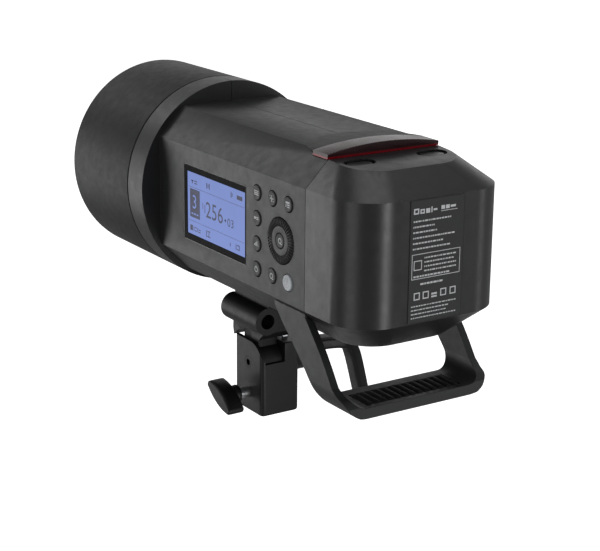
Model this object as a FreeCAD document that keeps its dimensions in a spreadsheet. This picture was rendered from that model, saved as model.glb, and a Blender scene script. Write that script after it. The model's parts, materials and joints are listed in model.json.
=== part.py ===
import FreeCAD, Part
import math
import os
import re

import Sketcher
from FreeCAD import Placement, Rotation, Vector

# Battery-powered monolight strobe on a tilting stand adapter.
# Frame: origin at the mouth of the stand socket, +Z up, the lamp faces -Y, the display is on +X.
# Sizes are in millimetres. "Above the axis" means above the lamp axis.

SIZES = {
    # head
    "lamp_axis": 135.2,         # height of the lamp axis above the socket mouth
    "flat_half": 50.0,          # half width across the flats of the eight-sided body
    "flat_edge": 33.3,          # half length of a flat, where the corner bevel starts
    "wall": 2.6,
    "collar_radius": 62.5,
    "collar_front": -60.3,
    "panel_front": -42.2,       # where the flat sides start behind the round collar
    "seam": 116.8,              # where the battery meets the body
    "parting": 0.15,            # half of the gap between the two shells
    # cap
    "cap_rear": -61.3,
    "cap_front": -140.0,
    "cap_wall": 2.5,
    "cap_round": 5.0,
    # battery
    "battery_front": 117.1,
    "battery_rear": 164.3,
    "battery_corner": 24.0,
    "battery_top": 47.4,        # top of the battery above the axis, at its front edge
    "battery_slope": 2.4,       # how far that top falls towards the rear
    "shoulder_rear": 146.0,     # where the top and bottom bevels of the battery end
    "shoulder_corner": 20.0,
    "label_half_width": 17.5,
    "label_half_height": 32.8,
    "release_x": 23.5,
    "release_y": 127.5,
    # stand adapter
    "adapter_half_width": 13.6,
    "adapter_half_depth": 15.9,
    "adapter_top": 45.6,
    "adapter_round": 3.0,
    "pivot_height": 31.4,
    "ear_radius": 15.0,
    "reach_radius": 20.9,       # the adapter's top corners are cut back to this reach
    "sweep_radius": 21.3,       # room that the adapter's corners need as the head tilts
    "socket_radius": 8.1,
    "socket_depth": 16.2,
    "knob_height": 12.2,
    "slot_left": 11.0,
    "slot_right": -2.9,
    "slot_lip": 33.4,           # height of the slot's rear lip
    "knuckle_radius": 13.5,
    "bolt_radius": 4.0,
    "screw_radius": 3.4,
    "fit_gap": 0.05,
    # umbrella tube
    "tube_x": 12.0,
    "tube_height": 62.4,
    "tube_front": -21.0,
    "tube_rear": 20.0,
    "tube_radius": 8.5,
    "umbrella_radius": 4.6,
    "lock_y": 4.0,              # place of the umbrella lock screw along the tube
    # control panel on the +X side, places along Y and above the axis
    "window_front": -12.4,
    "window_rear": 57.6,
    "window_half": 22.4,
    "column_one": 69.2,
    "column_two": 84.9,
    "column_three": 100.8,
    "row_top": 21.6,
    "row_step": 14.4,
    "button_radius": 4.2,
    "power_radius": 4.6,
    "button_gap": 0.4,
    "button_proud": 0.7,
    "dial_y": 93.3,
    "dial_radius": 12.7,
    # sensor window on top
    "sensor_front": 102.8,
    "sensor_half": 36.3,
    "sensor_crown": 53.3,
    "sensor_bend": 197.0,
    "ramp_length": 30.0,
    # handle
    "handle_half": 48.0,
    "strap": 4.6,
    "grip_low": 50.0,
    "grip_high": 56.0,
    "grip_front": 130.7,
    "grip_rear": 155.0,
    "grip_corner": 9.0,
    "rib_count": 13,
}

doc = FreeCAD.newDocument("monolight")
sheet = doc.addObject("Spreadsheet::Sheet", "sizes")
for line_number, (alias, number) in enumerate(SIZES.items(), start=1):
    sheet.set(f"A{line_number}", alias)
    sheet.set(f"B{line_number}", str(number))
    sheet.setAlias(f"B{line_number}", alias)
doc.recompute()

ALIAS = re.compile(r"[a-z_]+")
X_AXIS, Y_AXIS, Z_AXIS = Vector(1, 0, 0), Vector(0, 1, 0), Vector(0, 0, 1)
ALONG = {"X": Rotation(Z_AXIS, X_AXIS), "Y": Rotation(Z_AXIS, Y_AXIS), "Z": Rotation()}
nodes = {}


def cell(alias):
    """The number that the sheet holds under an alias."""
    return float(sheet.get(alias))


def formula(text):
    """An expression in which every alias is a reference to the sheet."""
    return ALIAS.sub(lambda word: f"sizes.{word[0]}" if word[0] in SIZES else word[0], str(text))


def bind(feature, bindings):
    """Bind properties of a feature to expressions in the sheet's aliases."""
    for name, text in bindings.items():
        feature.setExpression(name, formula(text))


def place(feature, corner):
    """Bind the place of a feature to three expressions."""
    bind(feature, {f"Placement.Base.{key}": text for key, text in zip("xyz", corner)})


def add(kind, name, **properties):
    """A new document object with plain properties."""
    feature = doc.addObject(kind, name)
    for key, value in properties.items():
        setattr(feature, key, value)
    return feature


def rod(name, radius, length, corner, along="Y"):
    """A cylinder whose axis starts at the corner and runs along X, Y or Z."""
    feature = add("Part::Cylinder", name)
    feature.Placement = Placement(Vector(), ALONG[along])
    bind(feature, {"Radius": radius, "Height": length})
    place(feature, corner)
    return feature


def block(name, low, high):
    """A box between two corners given as expressions."""
    feature = add("Part::Box", name)
    sides = zip(("Length", "Width", "Height"), low, high)
    bind(feature, {side: f"({top}) - ({bottom})" for side, bottom, top in sides})
    place(feature, low)
    return feature


def fuse(name, *shapes):
    """The union of several objects."""
    return add("Part::MultiFuse", name, Shapes=list(shapes), Refine=True)


def cut(name, base, *tools):
    """The base with every tool taken away from it."""
    tool = tools[0] if len(tools) == 1 else fuse(f"{name}_tools", *tools)
    return add("Part::Cut", name, Base=base, Tool=tool, Refine=True)


def common(name, first, second):
    """What two objects have in common."""
    return add("Part::Common", name, Base=first, Tool=second, Refine=True)


def group(name, shapes):
    """Several separate solids kept as one object."""
    return add("Part::Compound", name, Links=list(shapes))


def keep(name, feature):
    """Name a finished piece, which gets a file of its own."""
    feature.Label = name
    nodes[name] = feature
    return feature


def outline(sketch, points):
    """A closed polygon in a sketch, every corner bound to two expressions."""
    count = len(points)
    turns = [2 * math.pi * index / count for index in range(count)]
    start = [Vector(10 * math.cos(turn), 10 * math.sin(turn), 0) for turn in turns]
    for index in range(count):
        sketch.addGeometry(Part.LineSegment(start[index], start[(index + 1) % count]), False)
    for index in range(count):
        sketch.addConstraint(Sketcher.Constraint("Coincident", index, 2, (index + 1) % count, 1))
    for index, corner in enumerate(points):
        for kind, text in zip(("DistanceX", "DistanceY"), corner):
            number = sketch.addConstraint(Sketcher.Constraint(kind, -1, 1, index, 1, 1.0))
            sketch.setExpression(f"Constraints[{number}]", formula(text))


PLANES = {"X": "YZ_Plane", "Y": "XZ_Plane", "Z": "XY_Plane"}


def sketch_on(body, name, along, start="0"):
    """A sketch on the body's own origin plane that faces X, Y or Z, moved out to start."""
    sketch = body.newObject("Sketcher::SketchObject", name)
    role = PLANES[along]
    sketch.AttachmentSupport = [(p, "") for p in body.Origin.OriginFeatures if p.Role == role]
    sketch.MapMode = "FlatFace"
    sign = "-" if along == "Y" else ""
    bind(sketch, {"AttachmentOffset.Base.z": f"{sign}({start})"})
    return sketch


def new_body(name, height="0"):
    """A PartDesign body whose local origin is at a height on the Z axis."""
    body = add("PartDesign::Body", name)
    bind(body, {"Placement.Base.z": height})
    return body


def pad(body, name, along, start, length, points):
    """Pad a polygon from start towards plus X, Y or Z."""
    sketch = sketch_on(body, f"{name}_sketch", along, start)
    outline(sketch, points)
    feature = body.newObject("PartDesign::Pad", name)
    feature.Profile = sketch
    feature.Reversed = along == "Y"
    bind(feature, {"Length": length})
    return feature


def pocket(body, name, along, start, length, points):
    """Pocket a polygon from start towards plus X, Y or Z."""
    sketch = sketch_on(body, f"{name}_sketch", along, start)
    outline(sketch, points)
    return finish_pocket(body, name, along, length, sketch)


def drill(body, name, along, start, length, radius, centre):
    """Pocket a round hole from start towards plus X, Y or Z."""
    sketch = sketch_on(body, f"{name}_sketch", along, start)
    sketch.addGeometry(Part.Circle(Vector(1, 1, 0), Z_AXIS, 2), False)
    values = (("DistanceX", centre[0]), ("DistanceY", centre[1]))
    for kind, text in values:
        number = sketch.addConstraint(Sketcher.Constraint(kind, -1, 1, 0, 3, 1.0))
        sketch.setExpression(f"Constraints[{number}]", formula(text))
    number = sketch.addConstraint(Sketcher.Constraint("Radius", 0, 2.0))
    sketch.setExpression(f"Constraints[{number}]", formula(radius))
    return finish_pocket(body, name, along, length, sketch)


def finish_pocket(body, name, along, length, sketch):
    """The pocket of a finished sketch, cutting towards the plus end of its axis."""
    feature = body.newObject("PartDesign::Pocket", name)
    feature.Profile = sketch
    feature.Reversed = along != "Y"
    bind(feature, {"Length": length})
    return feature


def turned(name, points, height="lamp_axis"):
    """A body of revolution about the Y axis at a height; points are (place along Y, radius)."""
    body = new_body(f"{name}_body", height)
    sketch = sketch_on(body, f"{name}_profile", "X")
    outline(sketch, points)
    feature = body.newObject("PartDesign::Revolution", f"{name}_turn")
    feature.Profile = sketch
    feature.ReferenceAxis = (sketch, ["H_Axis"])
    feature.Angle = 360
    return body


def rounded(body, name, radius, chosen):
    """Fillet the edges of the body's tip that a test chooses."""
    doc.recompute()
    base = body.Tip
    names = [f"Edge{n}" for n, edge in enumerate(base.Shape.Edges, start=1) if chosen(edge)]
    feature = body.newObject("PartDesign::Fillet", name)
    feature.Base = (base, names)
    bind(feature, {"Radius": radius})
    return feature


def runs_along(edge, axis):
    """Whether an edge is straight and parallel to an axis."""
    if not isinstance(edge.Curve, Part.Line):
        return False
    return abs(abs(edge.Curve.Direction.dot(axis)) - 1) < 1e-6


def octagon(half, edge):
    """The eight corners of the body's section about the lamp axis."""
    near, far = (f"({edge})", f"({half})")
    corners = ((far, near), (near, far))
    right = [corners[0], corners[1], (f"-{near}", far), (f"-{far}", near)]
    return right + [(f"-{far}", f"-{near}"), (f"-{near}", f"-{far}"), (near, f"-{far}"), (far, f"-{near}")]


def prism(name, start, length, half, edge):
    """An eight-sided prism along the lamp axis."""
    body = new_body(f"{name}_body", "lamp_axis")
    pad(body, name, "Y", start, length, octagon(half, edge))
    return body


# Stand adapter: a block with the stand socket below and a clevis above, on a cross bolt.

def stand_adapter():
    """The block, with a slot between a thin left ear and a thick right ear."""
    body = new_body("adapter_body")
    width, depth = "adapter_half_width", "adapter_half_depth"
    pad(body, "adapter_block", "Z", "0", "adapter_top",
        [(width, depth), (f"-{width}", depth), (f"-{width}", f"-{depth}"), (width, f"-{depth}")])
    rounded(body, "upright_round", "adapter_round", lambda edge: runs_along(edge, Z_AXIS))
    rounded(body, "foot_round", "1.6", lambda edge: edge.CenterOfMass.z < 1)
    drill(body, "stand_bore", "Z", "-1", "socket_depth + 1", "socket_radius", ("0", "0"))
    span = "slot_left - slot_right"
    drill(body, "slot_round", "X", "slot_right", span, "knuckle_radius + 0.5", ("0", "pivot_height"))
    pocket(body, "slot_mouth", "X", "slot_right", span,
           [(f"-{depth} - 1", "pivot_height - 8"), ("0", "pivot_height - 8"),
            ("0", "slot_lip"), (f"{depth} + 1", "slot_lip"),
            (f"{depth} + 1", "adapter_top + 1"), (f"-{depth} - 1", "adapter_top + 1")])
    drill(body, "bolt_hole", "X", f"-{width} - 1", f"2 * {width} + 2",
          "bolt_radius + fit_gap", ("0", "pivot_height"))
    drill(body, "clamp_hole", "X", "0", f"{width} + 1", "screw_radius + fit_gap", ("0", "knob_height"))
    drill(body, "stop_hole", "Z", "adapter_top - 6", "7", "1.8", ("-7.7", "8.0"))
    corner = block("ear_corner", ("5", "2.2", "pivot_height + 0.2"), (f"{width} + 1", "20", "50"))
    ear = rod("ear_rod", "ear_radius - 1", "12", ("4", "2.2", "pivot_height + 0.2"), "X")
    top = block("reach_block", (f"-{width} - 1", f"-{depth} - 1", "pivot_height + 6"),
                (f"{width} + 1", f"{depth} + 1", "adapter_top + 1"))
    reach = rod("reach_rod", "reach_radius", f"2 * {width} + 4", (f"-{width} - 2", "0", "pivot_height"), "X")
    keep("stand_adapter", cut("adapter_rounded", body, cut("ear_tool", corner, ear),
                              cut("reach_tool", top, reach)))


def cross_bolt():
    """Tilt bolt with its socket head, collar and stop pin."""
    left = "adapter_half_width"
    shaft = rod("bolt_shaft", "bolt_radius", f"2 * {left} + 12.4",
                (f"-{left} - 12.4", "0", "pivot_height"), "X")
    socket = rod("bolt_socket", "2.0", "4.0", (f"{left} - 3.0", "0", "pivot_height"), "X")
    keep("tilt_bolt", cut("bolt_with_socket", shaft, socket))
    disc = rod("collar_disc", "9.0", "3.0", (f"-{left} - 3.2", "0", "pivot_height"), "X")
    hole = rod("collar_hole", "bolt_radius + fit_gap", "4.0", (f"-{left} - 3.7", "0", "pivot_height"), "X")
    keep("tilt_collar", cut("collar_ring", disc, hole))
    keep("tilt_stop_pin", rod("stop_pin", "1.75", "7.4", ("-7.7", "8.0", "adapter_top - 5.8"), "Z"))


def tilt_lever():
    """Cranked lever on the -X side: hub on the bolt, neck outwards, handle down to the rear."""
    hub = rod("lever_hub", "6.6", "8.8", ("-26.2", "0", "pivot_height"), "X")
    neck = block("lever_neck", ("-57.5", "0.5", "pivot_height + 1.5"),
                 ("-18.0", "15.0", "pivot_height + 10.0"))
    arm = add("Part::Box", "lever_arm", Length=7.0, Width=13.0, Height=46.0)
    arm.Placement = Placement(Vector(), Rotation(X_AXIS, 203.0))
    place(arm, ("-58.0", "18.0", "pivot_height + 8.5"))
    tip = rod("lever_tip", "5.6", "7.0", ("-58.0", "27.6", "pivot_height - 32.2"), "X")
    solid = fuse("lever_solid", hub, neck, arm, tip)
    bore = rod("lever_bore", "bolt_radius + fit_gap", "14.0", ("-28.0", "0", "pivot_height"), "X")
    keep("tilt_lever", cut("lever_with_bore", solid, bore))


def stand_clamp():
    """Clamp screw of the stand socket: brass pad, chrome screw and a pointed-oval wing knob."""
    at = ("socket_radius + 0.1", "0", "knob_height")
    keep("clamp_pad", rod("pad_disc", "screw_radius", "2.0", at, "X"))
    screw_at = ("socket_radius + 2.2", "0", "knob_height")
    keep("stand_screw", rod("screw_shaft", "screw_radius", "10.5", screw_at, "X"))
    hub = rod("knob_hub", "6.2", "6.0", ("socket_radius + 12.8", "0", "knob_height"), "X")
    first = rod("wing_one", "28.0", "11.5", ("24.0", "0", "0"), "X")
    second = rod("wing_two", "28.0", "11.5", ("24.0", "0", "0"), "X")
    ends = rod("wing_ends", "14.4", "11.5", ("24.0", "0", "knob_height"), "X")
    tilt, offset = math.radians(-26), 22.5
    for half, side in ((first, 1), (second, -1)):
        bind(half, {"Placement.Base.y": f"{-side * offset * math.sin(tilt):.3f}",
                    "Placement.Base.z": f"knob_height + {side * offset * math.cos(tilt):.3f}"})
    wing = common("wing", common("wing_lens", first, second), ends)
    keep("stand_knob", fuse("knob", hub, wing))


def umbrella_lock():
    """Thumb screw on the -X side that locks the umbrella shaft in its tube."""
    tip = "tube_x - umbrella_radius - 2.2"
    keep("umbrella_pad", rod("lock_pad", "2.2", "2.0", (tip, "lock_y", "tube_height"), "X"))
    shaft = rod("lock_shaft", "2.2", "24.0", (f"{tip} - 24.2", "lock_y", "tube_height"), "X")
    head = rod("lock_head", "6.5", "7.0", (f"{tip} - 27.2", "lock_y", "tube_height"), "X")
    notches = []
    for index in range(8):
        angle = 2 * math.pi * index / 8
        notches.append(rod(f"lock_notch_{index}", "1.3", "9.0", (
            f"{tip} - 28.2", f"lock_y + {7.1 * math.cos(angle):.3f}",
            f"tube_height + {7.1 * math.sin(angle):.3f}"), "X"))
    keep("umbrella_knob", fuse("lock_knob", shaft, cut("lock_grip", head, *notches)))


# Tilting bracket under the head

def tilt_bracket():
    """Knuckle between the adapter's ears, umbrella tube and the plate that the body is screwed to."""
    right, left = "slot_right + 0.2", "slot_left - 0.2"
    width = f"({left}) - ({right})"
    knuckle = rod("knuckle", "knuckle_radius", width, (right, "0", "pivot_height"), "X")
    body = new_body("bracket_body")
    pad(body, "neck", "X", right, width,
        [("-9.0", "pivot_height"), ("7.5", "pivot_height"), ("7.5", "pivot_height + 18"),
         ("-9.0", "pivot_height + 18")])
    pad(body, "shoulder", "X", "-adapter_half_width", "2 * adapter_half_width",
        [("-17.0", "pivot_height + 13.6"), ("9.0", "pivot_height + 14.5"), ("17.3", "pivot_height + 22.4"),
         ("17.3", "tube_height"), ("-17.3", "tube_height"), ("-18.0", "pivot_height + 18.0")])
    pad(body, "web", "X", "-9.0", "21.0",
        [("-15.0", "tube_height - 6"), ("13.0", "tube_height - 6"), ("18.0", "tube_height + 6"),
         ("28.0", "lamp_axis - flat_half - 5"), ("-20.0", "lamp_axis - flat_half - 5")])
    pad(body, "plate", "Z", "lamp_axis - flat_half - 6", "5.8",
        [("22", "40"), ("-22", "40"), ("-22", "-32"), ("22", "-32")])
    sweep = rod("sweep_room", "sweep_radius", "2 * adapter_half_width + 2",
                ("-adapter_half_width - 1", "0", "pivot_height"), "X")
    kept = block("sweep_kept", (right, "-9.0", "pivot_height - 1"), (left, "7.5", "pivot_height + 30"))
    trimmed = cut("bracket_trimmed", body, cut("sweep_tool", sweep, kept))
    tube = rod("tube", "tube_radius", "tube_rear - tube_front", ("tube_x", "tube_front", "tube_height"))
    solid = fuse("bracket_solid", knuckle, trimmed, tube)
    tools = [
        rod("umbrella_bore", "umbrella_radius", "tube_rear - tube_front + 80",
            ("tube_x", "tube_front - 40", "tube_height")),
        rod("bushing_bore", "bolt_radius + 1.6", "30", ("-15", "0", "pivot_height"), "X"),
        rod("lock_bore", "2.2 + fit_gap", "30", ("tube_x - 30", "lock_y", "tube_height"), "X"),
    ]
    for index, (x, y) in enumerate(SCREW_PLACES):
        tools.append(rod(f"plate_hole_{index}", "2.1", "10", (x, y, "lamp_axis - flat_half - 8"), "Z"))
        tools.append(rod(f"plate_recess_{index}", "3.8", "4.6", (x, y, "lamp_axis - flat_half - 8"), "Z"))
    keep("tilt_bracket", cut("bracket", solid, *tools))
    sleeve = rod("sleeve", "bolt_radius + 1.6", width, (right, "0", "pivot_height"), "X")
    bore = rod("sleeve_bore", "bolt_radius + fit_gap", "30", ("-15", "0", "pivot_height"), "X")
    keep("tilt_bushing", cut("bushing", sleeve, bore))


SCREW_PLACES = (("-16", "-26"), ("16", "-26"), ("-16", "34"), ("16", "34"))
BOSS_PLACES = tuple((y, side) for y in ("-34", "30", "94") for side in ("", "-"))


def bracket_screws():
    """Four screws that hold the bracket's plate to the underside of the body."""
    screws = []
    for index, (x, y) in enumerate(SCREW_PLACES):
        stem = rod(f"stem_{index}", "2.0", "9.4", (x, y, "lamp_axis - flat_half - 4.4"), "Z")
        head = rod(f"stem_head_{index}", "3.6", "2.4", (x, y, "lamp_axis - flat_half - 5.9"), "Z")
        screws.append(fuse(f"bracket_screw_{index}", stem, head))
    keep("bracket_screws", group("bracket_screw_group", screws))


# Body shells

def panel_holes():
    """Cutters for the display window, the buttons and the dial in the left shell."""
    deep = "flat_half - 6"
    tools = [block("window_hole", (deep, "window_front - 0.15", "lamp_axis - window_half - 0.15"),
                   ("flat_half + 1", "window_rear + 0.15", "lamp_axis + window_half + 0.15"))]
    for index, (y, z) in enumerate(BUTTON_PLACES):
        tools.append(rod(f"button_hole_{index}", "button_radius + button_gap", "8", (deep, y, z), "X"))
    tools.append(rod("power_hole", "power_radius + button_gap", "8", (deep, *POWER_PLACE), "X"))
    tools.append(rod("dial_hole", "dial_radius + button_gap", "8", (deep, "dial_y", "lamp_axis"), "X"))
    return tools


BUTTON_PLACES = (
    ("column_one", "lamp_axis + row_top"),
    ("column_two", "lamp_axis + row_top"),
    ("column_three", "lamp_axis + row_top"),
    ("column_one", "lamp_axis + row_top - row_step"),
    ("column_one", "lamp_axis - row_top + row_step"),
    ("column_one", "lamp_axis - row_top"),
    ("column_two", "lamp_axis - row_top"),
)
POWER_PLACE = ("column_three", "lamp_axis - row_top")


def shells():
    """Two clamshell halves with the round collar in front, split along the middle."""
    outside = fuse("body_outside",
                   prism("barrel", "panel_front - 1", "seam - panel_front + 1", "flat_half", "flat_edge"),
                   rod("collar", "collar_radius", "panel_front - collar_front",
                       ("0", "collar_front", "lamp_axis")))
    inside = fuse("body_inside",
                  prism("hollow", "panel_front - wall", "seam - panel_front + 10",
                        "flat_half - wall", "flat_edge - 1.1"),
                  rod("collar_hollow", "collar_radius - 2.9", "panel_front - collar_front",
                      ("0", "collar_front - wall", "lamp_axis")))
    hollow = cut("body_hollow", outside, inside)
    notch = block("sensor_notch",
                  ("-sensor_half - 0.1", "sensor_front - 0.1", "lamp_axis + flat_half - wall - 1"),
                  ("sensor_half + 0.1", "seam + 1", "lamp_axis + flat_half + 5"))
    for name, side in (("left_shell", 1), ("right_shell", -1)):
        low = ("parting", "collar_front - 5", "lamp_axis - 70")
        high = ("70", "seam + 5", "lamp_axis + 70")
        if side < 0:
            low, high = ("-70", *low[1:]), ("-parting", *high[1:])
        half = common(f"{name}_half", hollow, block(f"{name}_space", low, high))
        start = "parting" if side > 0 else "-parting - 11"
        bosses = [rod(f"{name}_boss_{index}", "4.2", "11", (start, y, f"lamp_axis {sign or '+'} 43.5"), "X")
                  for index, (y, sign) in enumerate(BOSS_PLACES)]
        bores = [rod(f"{name}_bore_{index}", "1.55", "24", ("-12", y, f"lamp_axis {sign or '+'} 43.5"), "X")
                 for index, (y, sign) in enumerate(BOSS_PLACES)]
        tools = [notch] + bores
        tools += [rod(f"{name}_plate_screw_{index}", "2.05", "14", (x, y, "lamp_axis - flat_half - 3"), "Z")
                  for index, (x, y) in enumerate(SCREW_PLACES)]
        tools += panel_holes() if side > 0 else [
            rod("sync_hole", "4.1", "8", ("-flat_half - 1", "80", "lamp_axis - 12"), "X")]
        keep(name, cut(name, fuse(f"{name}_bossed", half, *bosses), *tools))
    screws = []
    for index, (y, sign) in enumerate(BOSS_PLACES):
        stem = rod(f"shell_stem_{index}", "1.5", "22.4", ("-11", y, f"lamp_axis {sign or '+'} 43.5"), "X")
        head = rod(f"shell_head_{index}", "2.8", "1.8", ("11.2", y, f"lamp_axis {sign or '+'} 43.5"), "X")
        screws.append(fuse(f"shell_screw_{index}", stem, head))
    keep("shell_screws", group("shell_screw_group", screws))


def rear_bulkhead():
    """Plate that closes the body where the battery sits, with the terminal block on it."""
    plate = prism("bulkhead_plate", "seam - 4.2", "3.0", "flat_half - wall - 0.3", "flat_edge - 1.3")
    top = block("bulkhead_notch", ("-45", "seam - 6", "lamp_axis + flat_half - wall - 3.4"),
                ("45", "seam", "lamp_axis + flat_half"))
    keep("rear_bulkhead", cut("bulkhead", plate, top))
    block_low = ("-16", "seam - 1.1", "lamp_axis - 26")
    base = block("terminal_base", block_low, ("16", "seam", "lamp_axis - 12"))
    slots = [block(f"terminal_slot_{n}", (f"{-12 + 6 * n} - 0.8", "seam - 0.7", "lamp_axis - 24"),
                   (f"{-12 + 6 * n} + 0.8", "seam + 1", "lamp_axis - 14")) for n in range(5)]
    keep("battery_terminals", cut("terminals", base, *slots))


def sensor():
    """Red sensor window: a crowned strip across the top, with a ramp in front of it."""
    crown = rod("crown", "sensor_bend", "seam - sensor_front",
                ("0", "sensor_front", "lamp_axis + sensor_crown - sensor_bend"))
    strip = block("sensor_strip", ("-sensor_half", "sensor_front", "lamp_axis + battery_top - 0.1"),
                  ("sensor_half", "seam", "lamp_axis + flat_half + 6"))
    keep("sensor_window", common("window", crown, strip))
    ramp = rod("ramp_crown", "sensor_bend", "ramp_length + 20", ("0", "0", "0"))
    rise = math.degrees(math.atan2(cell("sensor_crown") - cell("flat_half"), cell("ramp_length")))
    ramp.Placement = Placement(Vector(), Rotation(X_AXIS, rise).multiply(ALONG["Y"]))
    place(ramp, ("0", "sensor_front - ramp_length", "lamp_axis + flat_half - sensor_bend"))
    room = block("ramp_room", ("-sensor_half", "sensor_front - ramp_length", "lamp_axis + flat_half + 0.03"),
                 ("sensor_half", "sensor_front - 0.05", "lamp_axis + flat_half + 6"))
    keep("sensor_bezel", common("bezel", ramp, room))


# Control panel

def controls():
    """Display window and module, push buttons, dial and the board behind them."""
    window = new_body("window_body")
    corners = [("window_rear", "lamp_axis + window_half"), ("window_front", "lamp_axis + window_half"),
               ("window_front", "lamp_axis - window_half"), ("window_rear", "lamp_axis - window_half")]
    pad(window, "window_plate", "X", "flat_half - 1.6", "1.6", corners)
    keep("lcd_window", window)
    keep("lcd_module", block("module",
                             ("flat_half - 6.4", "window_front + 2.4", "lamp_axis - window_half + 3"),
                             ("flat_half - 1.8", "window_rear - 2.4", "lamp_axis + window_half - 3")))
    board = block("board", ("flat_half - 10.4", "window_front - 4", "lamp_axis - 29"),
                  ("flat_half - 8.8", "seam - 8", "lamp_axis + 29"))
    keep("control_board", board)
    for index, (y, z) in enumerate(BUTTON_PLACES, start=1):
        push_button(f"panel_button_{index}", "button_radius", y, z)
    push_button("power_button", "power_radius", *POWER_PLACE)
    base = "flat_half - 2.4"
    ring = rod("dial_blank", "dial_radius", "3.6", (base, "dial_y", "lamp_axis"), "X")
    tools = [rod("dial_bore", "button_radius + 0.3", "6", ("flat_half - 4", "dial_y", "lamp_axis"), "X"),
             cut("dial_step", rod("dial_dish", "8.9", "2", ("flat_half + 0.7", "dial_y", "lamp_axis"), "X"),
                 rod("dial_disc", "8.1", "2", ("flat_half + 0.7", "dial_y", "lamp_axis"), "X"))]
    for index in range(36):
        angle = 2 * math.pi * index / 36
        tools.append(rod(f"knurl_{index}", "0.4", "5", (
            "flat_half - 3", f"dial_y + (dial_radius + 0.1) * {math.cos(angle):.4f}",
            f"lamp_axis + (dial_radius + 0.1) * {math.sin(angle):.4f}"), "X"))
    keep("dial", cut("dial_knurled", ring, *tools))
    push_button("dial_button", "button_radius", "dial_y", "lamp_axis")
    keep("encoder_body", rod("encoder", "7.0", "4.0", ("flat_half - 8.7", "dial_y", "lamp_axis"), "X"))


def push_button(name, radius, y, z):
    """A round cap with a wider foot behind the panel, pressed towards -X."""
    cap = rod(f"{name}_cap", radius, "2.6 + button_proud", ("flat_half - 2.6", y, z), "X")
    keep(name, cap)


# Light chamber in front

def light_chamber():
    """Bayonet ring, tube base, reflector dish, ring flash tube, modelling lamp and dome."""
    keep("front_ring", turned("front_ring", [
        ("panel_front - 3", "50"), ("panel_front - 3", "collar_radius - 3.1"),
        ("cap_rear - 4", "collar_radius - 3.1"), ("cap_rear - 4", "54"), ("cap_rear + 4", "54"),
        ("cap_rear + 4", "50")]))
    keep("tube_base", turned("tube_base", [
        ("panel_front - 14", "0"), ("panel_front - 14", "46"), ("panel_front - 19", "46"),
        ("panel_front - 19", "0")]))
    keep("reflector_dish", turned("dish", [
        ("panel_front - 19.2", "12"), ("panel_front - 19.2", "44"), ("panel_front - 27", "52"),
        ("panel_front - 28", "52"), ("panel_front - 21", "44"), ("panel_front - 21", "12")]))
    ring = add("Part::Torus", "tube_ring")
    ring.Placement = Placement(Vector(), ALONG["Y"])
    bind(ring, {"Radius1": "24", "Radius2": "4"})
    place(ring, ("0", "panel_front - 31", "lamp_axis"))
    keep("flash_tube", ring)
    keep("modelling_lamp", turned("led", [
        ("panel_front - 19.2", "0"), ("panel_front - 19.2", "11.5"), ("panel_front - 27", "11.5"),
        ("panel_front - 30", "9"), ("panel_front - 30", "0")]))
    outer = glass_cup("dome_outer", "37", "0")
    inner = glass_cup("dome_inner", "35", "2")
    keep("glass_dome", cut("dome", outer, inner))


def glass_cup(name, radius, inset):
    """A round-nosed cylinder, the form of the dome and of its hollow."""
    tail = "2" if inset != "0" else "0"
    barrel = rod(f"{name}_barrel", radius, f"22 + {tail}",
                 ("0", "panel_front - 43.6", "lamp_axis"))
    nose = add("Part::Sphere", f"{name}_nose")
    bind(nose, {"Radius": radius})
    place(nose, ("0", "panel_front - 43.6", "lamp_axis"))
    front = block(f"{name}_front", ("-40", "panel_front - 84", "lamp_axis - 40"),
                  ("40", "panel_front - 43.6", "lamp_axis + 40"))
    return fuse(f"{name}_cup", barrel, common(f"{name}_cap", nose, front))


def lamp_cap():
    """Cup that protects the tube; it slides off forwards."""
    edge = "cap_round * 0.2929"
    body = turned("lamp_cap", [
        ("cap_front", "0"), ("cap_front", "collar_radius - cap_round"),
        (f"cap_front + {edge}", f"collar_radius - {edge}"), ("cap_front + cap_round", "collar_radius"),
        ("cap_rear - 1", "collar_radius"), ("cap_rear", "collar_radius - 0.6"),
        ("cap_rear", "collar_radius - cap_wall"), ("cap_front + cap_wall + 3", "collar_radius - cap_wall"),
        ("cap_front + cap_wall", "collar_radius - cap_wall - 3"), ("cap_front + cap_wall", "0")])
    keep("lamp_cap", body)


# Electronics inside

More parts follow.
